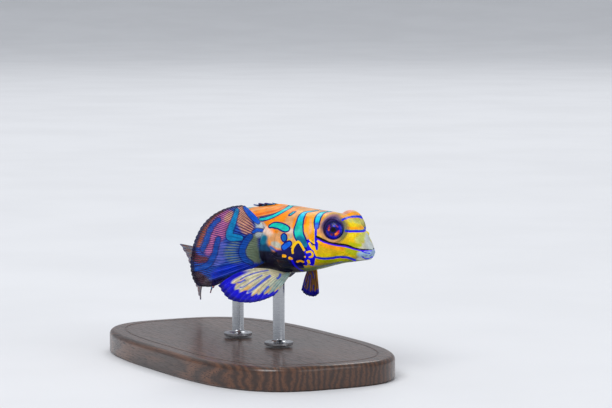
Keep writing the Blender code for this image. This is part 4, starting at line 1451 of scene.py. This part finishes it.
def pelvic_fin(side, tips, sags):
    """Fan under the throat, from a short front ray to a long rear ray."""

    def root(across):
        place = PELVIC_PLACE + (across - 0.5) * PELVIC_ROOT
        return surface_point(place, -60.0 + 5.0 * across, side, GAP + 0.12 * MM)

    def sag(across):
        return Vector(sags[0]).lerp(Vector(sags[1]), across)

    def reach(across):
        tip = Vector([smooth_value(tips, column, across) for column in (1, 2, 3)])
        return tip - sag(across)

    def direction(across):
        return direction_at(PELVIC_PLACE, *reach(across), side)

    def length(across):
        return reach(across).length

    def bend(across):
        return direction_at(PELVIC_PLACE, *sag(across), side) * sag(across).length

    return Fin(13, root, direction, length, bend, 0.02)


def median_fin(name):
    """Fin on the middle line of the back or belly, its rays leaning back."""
    rays, ends, degrees, slants, lengths, notch = MEDIAN_FINS[name]
    upward = math.copysign(1.0, degrees)

    def root(across):
        return surface_point(mix(*ends, across), degrees, RIGHT, -0.2 * MM)

    def direction(across):
        slant = math.radians(mix(*slants, across))
        return direction_at(mix(*ends, across), -math.cos(slant), 0.0, upward * math.sin(slant))

    def length(across):
        return mix(*lengths, across)

    def bend(across):
        return direction_at(ends[1], 0.0, 1.0, 0.0) * (0.25 * MM * math.sin(3.0 * across))

    return Fin(rays, root, direction, length, bend, notch, fork=0.08)


def caudal_fin():
    """Rounded tail fin."""
    start = STANDARD_LENGTH + GAP

    def root(across):
        return place_at(start, 0.0, mix(CAUDAL_ROOT, -CAUDAL_ROOT, across))

    def direction(across):
        angle = math.radians(mix(*CAUDAL_TURNS, across))
        return direction_at(start, -math.cos(angle), 0.0, math.sin(angle))

    def length(across):
        upper, lower, middle = CAUDAL_LENGTHS
        edge = mix(upper, lower, across)
        return edge + (middle - edge) * math.sin(math.pi * across) ** 0.8

    def bend(across):
        fold = 1.3 * MM * math.sin(math.pi * across) ** 0.7
        return direction_at(start, 0.0, 1.0, 0.0) * (mix(1.6 * MM, -0.9 * MM, across) - fold)

    return Fin(CAUDAL_RAYS, root, direction, length, bend, 0.04)


def paint_fans(material):
    """Both pectoral fans, painted from the near one."""
    near = pectoral_fin(RIGHT)
    far = pectoral_fin(LEFT)
    grounds = [(*entry[:3], near.corners_under(entry[3], 1.0)) for entry in FAN_GROUNDS]
    bands = [(colour, near.corners_under(path, 1.0)) for colour, path in FAN_BANDS]
    for name, fan in (("pectoral_fin_right", near), ("pectoral_fin_left", far)):
        points, _, along, ray = fin_surface(fan)
        rays, webs = fan.colours(FAN_RAY_BLUE, FAN_DEEP_BLUE)
        for ray_paint, web_paint, softness, corners in grounds:
            share = soft_share(inside(points, [fan.paths_at(corners)]), softness)
            wash(rays, ray_paint, share)
            wash(webs, web_paint, share)
        webs[:, :3] *= 0.75
        colours = mix(webs, rays, blend(0.25, 0.85, ray)[:, None])
        for colour, corners in bands:
            depth = inside(points, [fan.paths_at(corners)])
            wash(colours, NAVY, 0.85 * blend(-0.17, -0.09, depth))
            wash(colours, colour, (0.72 + 0.28 * ray) * blend(-0.05, 0.05, depth))
        wash(colours, NIGHT, 0.85 * blend(FAN_EDGE - 0.02, FAN_EDGE + 0.02, along))
        clear = 0.30 * blend(0.35, 0.9, along) * (1 - ray)
        fan.finish(name, colours, clear, material)


def paint_pelvic_fins(material):
    """Pelvic fins: cream ray groups with blue streaks between them and a deep blue margin."""
    near = pelvic_fin(RIGHT, PELVIC_RIGHT_TIPS, PELVIC_RIGHT_SAGS)
    far = pelvic_fin(LEFT, PELVIC_LEFT_TIPS, PELVIC_LEFT_SAGS)
    streaks = [near.corners_under(path, half) for half, path in PELVIC_STREAKS]
    for name, fan, pale in (("pelvic_fin_right", near, CREAM), ("pelvic_fin_left", far, PELVIC_GOLD)):
        points, across, along, ray = fin_surface(fan)
        rays, webs = fan.colours(pale, [0.74 * value for value in pale[:3]] + [1.0])
        if fan is near:
            wash(rays, PELVIC_GREEN, 0.8 * blend(0.50, 0.16, across))
            wash(webs, TEAL_GREY, 0.8 * blend(0.56, 0.16, across))
        else:
            wash(webs, NAVY, np.full(len(ray), 0.85))
        wash(rays, STREAK_AMBER, 0.90 * blend(0.55, 0.76, along) * blend(0.1, 0.9, np.sin(across * 31.0)))
        colours = mix(webs, rays, blend(0.15, 0.8, ray)[:, None])
        depth = inside(points, [fan.paths_at(corners) for corners in streaks])
        wash(colours, PELVIC_BLUE, 0.9 * blend(-0.06, 0.06, depth))
        ragged = along + 0.03 * np.sin(across * 61.0) + 0.02 * np.sin(across * 23.0)
        wash(colours, PELVIC_MARGIN, blend(0.79, 0.83, ragged))
        wash(colours, PELVIC_MARGIN, blend(0.90, 0.95, across) * blend(0.40, 0.62, along))
        wash(colours, NAVY, 0.7 * blend(0.92, 0.97, along))
        fan.finish(name, colours, 0.12 * (1 - ray), material)


def paint_median_fins(material):
    """Fins of the back, belly and tail, crossed by stripes: broad on the body, faint on the tail."""
    fins = {name: median_fin(name) for name in MEDIAN_FINS}
    fins["caudal_fin"] = caudal_fin()
    for name, fin in fins.items():
        _, across, along, ray = fin_surface(fin)
        shares = (0.9, 1.0, 0.8)
        if name == "caudal_fin":
            rays, webs = fin.colours(CAUDAL_BROWN, CAUDAL_GREY)
            wash(rays, DEEP_ORANGE, 0.45 * blend(0.5, 0.1, along))
            stripes = np.sin(along * 21.0 + 1.6 * np.sin(across * 9.0))
            clear = 0.34 * blend(0.2, 0.7, along) * (1 - ray)
            shares = (0.25, 0.15, 0.3)
        elif name == "dorsal_fin_first":
            rays, webs = fin.colours(FOLDED_FIN, BLACK)
            stripes = np.sin(along * 15.0 + across * 6.0)
            clear = np.zeros(len(ray))
        else:
            rays, webs = fin.colours(DEEP_ORANGE, PEACH)
            stripes = np.sin(along * 13.0 + across * 17.0 + 1.2 * np.sin(across * 23.0))
            clear = 0.18 * (1 - ray)
        colours = mix(webs, rays, blend(0.2, 0.8, ray)[:, None])
        wash(colours, NAVY, shares[0] * blend(0.25, 0.45, stripes))
        wash(colours, FAN_CYAN, shares[1] * blend(0.55, 0.75, stripes))
        wash(colours, FAN_DEEP_BLUE, shares[2] * blend(0.93, 0.965, along))
        fin.finish(name, colours, clear, material)


# Eyes

# Patches of the iris: degrees from ahead upwards, share of the eye's radius, spread of both, paint
IRIS_PATCHES = (
    ((100.0, 50.0), (0.74, 0.10), paint(2, 2, 60)),
    ((160.0, 60.0), (0.86, 0.12), paint(4, 2, 64)),
    ((10.0, 40.0), (0.62, 0.10), paint(10, 20, 190)),
    ((-95.0, 44.0), (0.66, 0.10), paint(10, 8, 190)),
    ((205.0, 26.0), (0.62, 0.10), paint(8, 6, 170)),
    # Bright royal blue just over the pupil: a painted highlight
    ((80.0, 24.0), (0.34, 0.08), paint(16, 10, 220)),
    ((165.0, 30.0), (0.44, 0.09), paint(176, 50, 34)),
    ((182.0, 16.0), (0.42, 0.05), paint(228, 92, 20)),
    ((140.0, 14.0), (0.56, 0.06), paint(120, 16, 84)),
    ((-48.0, 34.0), (0.46, 0.10), paint(244, 84, 0)),
    ((-56.0, 18.0), (0.42, 0.05), paint(255, 150, 20)),
    ((-14.0, 14.0), (0.48, 0.07), paint(206, 36, 30)),
    ((-112.0, 18.0), (0.46, 0.07), paint(124, 12, 60)),
    ((46.0, 20.0), (0.46, 0.05), paint(150, 60, 110)),
)
IRIS_BLUE = paint(5, 2, 122)
IRIS_DARK = paint(0, 0, 30)

# Shares of the eye's radius: the pupil, its soft edge, and how far ahead and up the iris sits
PUPIL_RADIUS = 0.225
PUPIL_EDGE = 0.05
IRIS_SHIFT = (0.07, -0.10)


def make_eye(name, side, material):
    """Glossy eyeball with a black pupil in a blue iris flecked with orange and red."""
    shell = eye_shell(side, EYE_RADIUS)
    item = mesh_object(name + "_ball", shell, material, (name,))
    sideways, upward, outward = [np.array(axis) for axis in eye_axes(side)]
    offset = (shell[0] - np.array(place_at(*EYE_CENTRE, side))) / EYE_RADIUS
    ahead = -(offset @ sideways) * side - IRIS_SHIFT[0]
    high = offset @ upward - IRIS_SHIFT[1]
    radius = np.hypot(ahead, high)
    turn = np.degrees(np.arctan2(high, ahead))
    colours = np.tile(np.array(IRIS_BLUE), (len(radius), 1))
    streaks = 0.5 + 0.5 * np.sin(np.radians(turn) * 23.0 + 9.0 * radius)
    wash(colours, IRIS_DARK, 0.8 * blend(0.50, 0.95, streaks))
    for (middle, spread), (place, width), colour in IRIS_PATCHES:
        away = np.abs((turn - middle + 180.0) % 360.0 - 180.0)
        ragged = 0.02 * np.sin(np.radians(turn) * 17.0)
        band = blend(1.6 * width, 0.5 * width, np.abs(radius - place + ragged))
        wash(colours, colour, 0.95 * band * blend(spread, 0.5 * spread, away))
    edge = radius + 0.02 * np.sin(3.0 * np.radians(turn))
    wash(colours, BLACK, blend(PUPIL_RADIUS + PUPIL_EDGE, PUPIL_RADIUS, edge))
    wash(colours, EYE_PURPLE, 0.8 * blend(0.82, 0.95, radius))
    wash(colours, DARK_TEAL, blend(0.66, 0.84, ahead) * blend(0.70, 0.80, radius))
    wash(colours, BLACK, (offset @ outward < 0.1).astype(float))
    set_attribute(item, "paint", colours)


# Stand


def base_outline(inset, level, segments=256):
    """Rounded oblong ring of the base at an inset from its widest outline."""
    power = 2 / BASE_CORNER_POWER
    ring = []
    for turn in np.linspace(0.0, 2 * math.pi, segments, endpoint=False):
        cosine = math.copysign(abs(math.cos(turn)) ** power, math.cos(turn))
        sine = math.copysign(abs(math.sin(turn)) ** power, math.sin(turn))
        ring.append(Vector(((BASE_SIZE[0] / 2 - inset) * cosine, (BASE_SIZE[1] / 2 - inset) * sine, level)))
    return ring


def make_base(material):
    """Oval base with an eased edge and a fine groove round its top."""
    height = BASE_SIZE[2]
    profile = [(BASE_FOOT_EDGE, 0.0), (0.0, BASE_FOOT_EDGE)]
    for turn in np.radians(np.linspace(0.0, 90.0, 13)):
        profile.append((BASE_EDGE * (1 - math.cos(turn)), height - BASE_EDGE * (1 - math.sin(turn))))
    for inset, depth in BASE_GROOVE:
        profile.append((inset, height - depth))
    shell = ring_shell([base_outline(inset, level) for inset, level in profile])
    item = mesh_object("stand_base_wood", shell, material, ("stand_base",))
    item.data.set_sharp_from_angle(angle=SHARP_ANGLE)


def turned_ring(centre, radius, height, turns):
    """Level ring of points round a centre."""
    points = []
    for turn in turns:
        spoke = Vector((math.cos(turn), math.sin(turn), 0.0)) * radius
        points.append(Vector((centre.x, centre.y, height)) + spoke)
    return points


def make_rod(name, distance, material):
    """Turned rod with a flared foot and a small pad under the belly."""
    belly = surface_point(distance, -90.0)
    low = BASE_SIZE[2] + GAP
    high = belly.z - GAP - PAD_THICKNESS
    foot_radius, foot_height = ROD_FOOT
    pad_radius, pad_height = ROD_PAD
    profile = [
        (foot_radius - ROD_EDGE, low),
        (foot_radius, low + ROD_EDGE),
        (foot_radius, low + 0.5 * foot_height),
    ]
    for turn in np.radians(np.linspace(0.0, 90.0, 9)):
        radius = mix(foot_radius - 0.05 * MM, ROD_RADIUS, math.sin(turn))
        profile.append((radius, low + foot_height * (1.1 - 0.55 * math.cos(turn))))
    for part in np.linspace(0.0, 1.0, 9):
        profile.append((mix(ROD_RADIUS, pad_radius, part**2), high - pad_height * (2 - part)))
    profile += [(pad_radius, high - ROD_EDGE), (pad_radius - ROD_EDGE, high)]
    turns = np.linspace(0.0, 2 * math.pi, 64, endpoint=False)
    rings = [turned_ring(belly, radius, height, turns) for radius, height in profile]
    item = mesh_object(name + "_steel", ring_shell(rings), material, (name,))
    item.data.set_sharp_from_angle(angle=SHARP_ANGLE)


# Materials

# Sockets of the mixing node that carry colours, by number, because their names occur twice
MIX_SHARE = 0
MIX_FIRST = 6
MIX_SECOND = 7
MIX_RESULT = 2


class Graph:
    """Node tree of one material. Places in it are in mm, and each call returns an output."""

    def __init__(self, name):
        self.material = bpy.data.materials.new(name)
        self.material.use_nodes = True
        self.nodes = self.material.node_tree.nodes
        self.links = self.material.node_tree.links
        self.shader = self.nodes["Principled BSDF"]
        texture = self.nodes.new("ShaderNodeTexCoord")
        self.place = self.scaled(texture.outputs["Object"], 1 / MM)

    def add(self, kind, output, inputs, **settings):
        """Node with its settings, its inputs linked or set, and the named output returned."""
        node = self.nodes.new(kind)
        for key, value in settings.items():
            setattr(node, key, value)
        for key, value in inputs.items():
            self.put(node, key, value)
        return node.outputs[output]

    def put(self, node, key, value):
        """Link or set one input of a node."""
        if isinstance(value, bpy.types.NodeSocket):
            self.links.new(value, node.inputs[key])
        else:
            node.inputs[key].default_value = value

    def set(self, **inputs):
        """Link or set inputs of the shader, their names written with underscores."""
        for key, value in inputs.items():
            self.put(self.shader, key.replace("_", " "), value)

    def attribute(self, name, output="Fac"):
        return self.add("ShaderNodeAttribute", output, {}, attribute_name=name)

    def scaled(self, vector, scale):
        """Place or colour times a number."""
        inputs = {"Vector": vector, "Scale": scale}
        return self.add("ShaderNodeVectorMath", "Vector", inputs, operation="SCALE")

    def stretched(self, x, y, z):
        """Places with each direction scaled."""
        inputs = {0: self.place, 1: (x, y, z)}
        return self.add("ShaderNodeVectorMath", "Vector", inputs, operation="MULTIPLY")

    def noise(self, scale, detail=2.0, place=None):
        inputs = {"Vector": place or self.place, "Scale": scale, "Detail": detail}
        return self.add("ShaderNodeTexNoise", "Fac", inputs)

    def calc(self, operation, first, second):
        return self.add("ShaderNodeMath", "Value", {0: first, 1: second}, operation=operation)

    def step(self, value, low, high, start=0.0, end=1.0):
        """Smooth rise from start at low to end at high."""
        inputs = {"Value": value, "From Min": low, "From Max": high, "To Min": start, "To Max": end}
        return self.add("ShaderNodeMapRange", "Result", inputs, interpolation_type="SMOOTHSTEP")

    def mixed(self, share, first, second):
        """Colours mixed by a share."""
        inputs = {MIX_SHARE: share, MIX_FIRST: first, MIX_SECOND: second}
        return self.add("ShaderNodeMix", MIX_RESULT, inputs, data_type="RGBA")

    def shaded(self, colour, noise, low, high):
        """Colour darkened and lightened by a noise."""
        grey = self.step(noise, 0.3, 0.7, low, high)
        if isinstance(colour, tuple):
            colour = colour[:3]
        return self.scaled(colour, grey)

    def bump(self, height, strength, distance, normal=None):
        inputs = {"Height": height, "Strength": strength, "Distance": distance}
        if normal:
            inputs["Normal"] = normal
        return self.add("ShaderNodeBump", "Normal", inputs)


def skin_material():
    """Wet, scaleless skin: soft ground colours under crisp layers of markings."""
    graph = Graph("skin_painted")
    wobble = graph.step(graph.noise(2.6, 3.0), 0.3, 0.7, -0.02, 0.02)
    colour = graph.shaded(graph.attribute("ground", "Color"), graph.noise(0.8, 4.0), 0.80, 1.12)
    colour = graph.shaded(colour, graph.noise(5.0, 3.0), 0.90, 1.08)
    depth = {}
    for name in MARKING_LAYERS:
        depth[name] = graph.calc("ADD", graph.attribute(name), wobble)
    bands = graph.shaded(graph.attribute("bands", "Color"), graph.noise(1.4, 3.0), 0.78, 1.15)
    layers = (
        ("turquoise", -0.24, BAND_BORDER),
        ("navy", 0.0, NAVY),
        ("royal", 0.0, ROYAL_BLUE),
        ("violet", 0.0, VIOLET),
        ("blue", 0.0, ROYAL_BLUE),
        ("teal", 0.0, STROKE_TEAL),
        ("turquoise", -0.02, bands),
        ("dark", 0.0, BLACK),
        ("yellow", 0.0, STREAK_YELLOW),
        ("amber", 0.0, STREAK_AMBER),
    )
    for name, edge, fill in layers:
        colour = graph.mixed(graph.step(depth[name], edge - 0.025, edge + 0.025), colour, fill)
    grain = graph.bump(graph.noise(7.0, 3.0), 0.35, 0.03 * MM)
    folds = graph.bump(graph.noise(1.3, 3.0), 0.25, 0.10 * MM, grain)
    graph.set(Base_Color=colour, Normal=folds, Roughness=graph.step(graph.noise(3.0), 0.3, 0.7, 0.30, 0.46))
    graph.set(Subsurface_Weight=0.05, Subsurface_Scale=0.3 * MM, Specular_IOR_Level=0.16)
    graph.set(Coat_Weight=0.08, Coat_Roughness=0.14)
    return graph.material


def fin_material():
    """Thin rayed membrane that lets a little light through."""
    graph = Graph("fin_membrane")
    colour = graph.shaded(graph.attribute("paint", "Color"), graph.noise(1.2, 4.0), 0.80, 1.14)
    colour = graph.shaded(colour, graph.noise(6.0, 2.0), 0.92, 1.07)
    solid = graph.calc("SUBTRACT", 1.0, graph.attribute("clear"))
    normal = graph.bump(graph.noise(6.0, 3.0), 0.3, 0.02 * MM)
    graph.set(Base_Color=colour, Alpha=solid, Normal=normal, Roughness=0.42, Specular_IOR_Level=0.14)
    graph.set(Subsurface_Weight=0.10, Subsurface_Scale=0.3 * MM, Coat_Weight=0.05, Coat_Roughness=0.2)
    return graph.material


def eye_material():
    """Iris under a clear, wet cornea."""
    graph = Graph("eye_glass")
    colour = graph.shaded(graph.attribute("paint", "Color"), graph.noise(6.0, 4.0), 0.70, 1.25)
    graph.set(Base_Color=colour, Roughness=0.34, Specular_IOR_Level=0.12)
    graph.set(Coat_Weight=0.22, Coat_Roughness=0.06)
    return graph.material


def wood_material():
    """Dark stained wood with a satin lacquer, its grain along the base."""
    graph = Graph("stand_wood")
    warp = graph.stretched(0.035, 0.30, 0.30)
    rings = graph.add(
        "ShaderNodeTexWave", "Fac",
        {"Vector": warp, "Scale": 1.1, "Distortion": 7.0, "Detail": 4.0, "Detail Scale": 1.4},
        bands_direction="Y",
    )
    pores = graph.noise(1.0, 4.0, graph.stretched(0.5, 9.0, 9.0))
    colour = graph.mixed(rings, paint(52, 32, 22), paint(96, 60, 38))
    colour = graph.mixed(graph.step(pores, 0.50, 0.66), colour, paint(34, 20, 14))
    colour = graph.shaded(colour, graph.noise(0.08, 3.0), 0.85, 1.15)
    normal = graph.bump(pores, 0.25, 0.04 * MM)
    graph.set(Base_Color=colour, Roughness=graph.step(pores, 0.4, 0.7, 0.30, 0.48), Normal=normal)
    graph.set(Coat_Weight=0.35, Coat_Roughness=0.16)
    return graph.material


def steel_material():
    """Brushed stainless steel with fine turning marks."""
    graph = Graph("stand_steel")
    marks = graph.noise(1.0, 2.0, graph.stretched(0.15, 0.15, 9.0))
    colour = graph.shaded(paint(176, 178, 182), marks, 0.92, 1.05)
    rough = graph.step(marks, 0.3, 0.7, 0.22, 0.30)
    graph.set(Base_Color=colour, Metallic=1.0, Roughness=rough, Normal=graph.bump(marks, 0.06, 0.01 * MM))
    return graph.material


def floor_material():
    """Pale matt floor."""
    graph = Graph("floor_pale")
    colour = graph.shaded(paint(226, 227, 230), graph.noise(0.02, 3.0), 0.98, 1.02)
    graph.set(Base_Color=colour, Roughness=0.75, Specular_IOR_Level=0.2)
    return graph.material


# Room: radii of the flat floor's rings and radius of the curve beyond them, in metres

FLOOR_RINGS = (0.02, 0.3, 1.5)
FLOOR_CURVE = 2.5
WORLD_PALE = paint(224, 228, 234)
WORLD_STRENGTH = 0.62

# Lights: degrees round the fish from its right side and over it, distance and size in metres, watts
LIGHTS = {
    "key": (34.0, 46.0, 1.5, 0.70, 12.0),
    "fill": (112.0, 24.0, 1.5, 0.90, 3.5),
    "rim": (235.0, 50.0, 1.5, 0.80, 7.0),
}


def make_floor():
    """Wide pale floor that curves up far away on all sides."""
    profile = [(radius, 0.0) for radius in FLOOR_RINGS]
    for turn in np.radians(np.arange(5.0, 70.0, 5.0)):
        profile.append((FLOOR_RINGS[-1] + FLOOR_CURVE * math.sin(turn), FLOOR_CURVE * (1 - math.cos(turn))))
    turns = np.radians(np.arange(0.0, 360.0, 3.0))
    rings = [turned_ring(Vector((0.0, 0.0, 0.0)), radius, height, turns) for radius, height in profile]
    points, faces = ring_shell(rings)
    mesh = bpy.data.meshes.new("floor")
    mesh.from_pydata(points.tolist(), [], faces[:-1])
    mesh.shade_smooth()
    floor = bpy.data.objects.new("floor", mesh)
    mesh.materials.append(floor_material())
    bpy.context.scene.collection.objects.link(floor)


def make_light(name, azimuth, elevation, distance, size, power):
    """Soft square light aimed at the fish from an angle round it and over it."""
    back = way_from(azimuth, elevation)
    data = bpy.data.lights.new(name, "AREA")
    data.shape = "SQUARE"
    data.size = size
    data.energy = power
    light = bpy.data.objects.new(name, data)
    light.location = Vector((0.0, 0.0, LIP_HEIGHT)) + back * distance
    light.rotation_euler = back.to_track_quat("Z", "Y").to_euler()
    bpy.context.scene.collection.objects.link(light)


def make_room():
    """Pale surroundings, a key light over the camera's left shoulder, a fill and a rim light."""
    make_floor()
    world = bpy.data.worlds.new("pale")
    world.use_nodes = True
    background = world.node_tree.nodes["Background"]
    background.inputs["Color"].default_value = WORLD_PALE
    background.inputs["Strength"].default_value = WORLD_STRENGTH
    bpy.context.scene.world = world
    for name, settings in LIGHTS.items():
        make_light(name, *settings)
    bpy.context.scene.view_settings.view_transform = "Standard"


make_camera()
make_room()
skin = make_skin(skin_material())
press_creases(skin)
paint_skin(skin)
membrane = fin_material()
paint_fans(membrane)
paint_pelvic_fins(membrane)
paint_median_fins(membrane)
cornea = eye_material()
make_eye("eye_right", RIGHT, cornea)
make_eye("eye_left", LEFT, cornea)
make_base(wood_material())
steel = steel_material()
for rod_name, rod_distance in ROD_PLACES.items():
    make_rod(rod_name, rod_distance, steel)
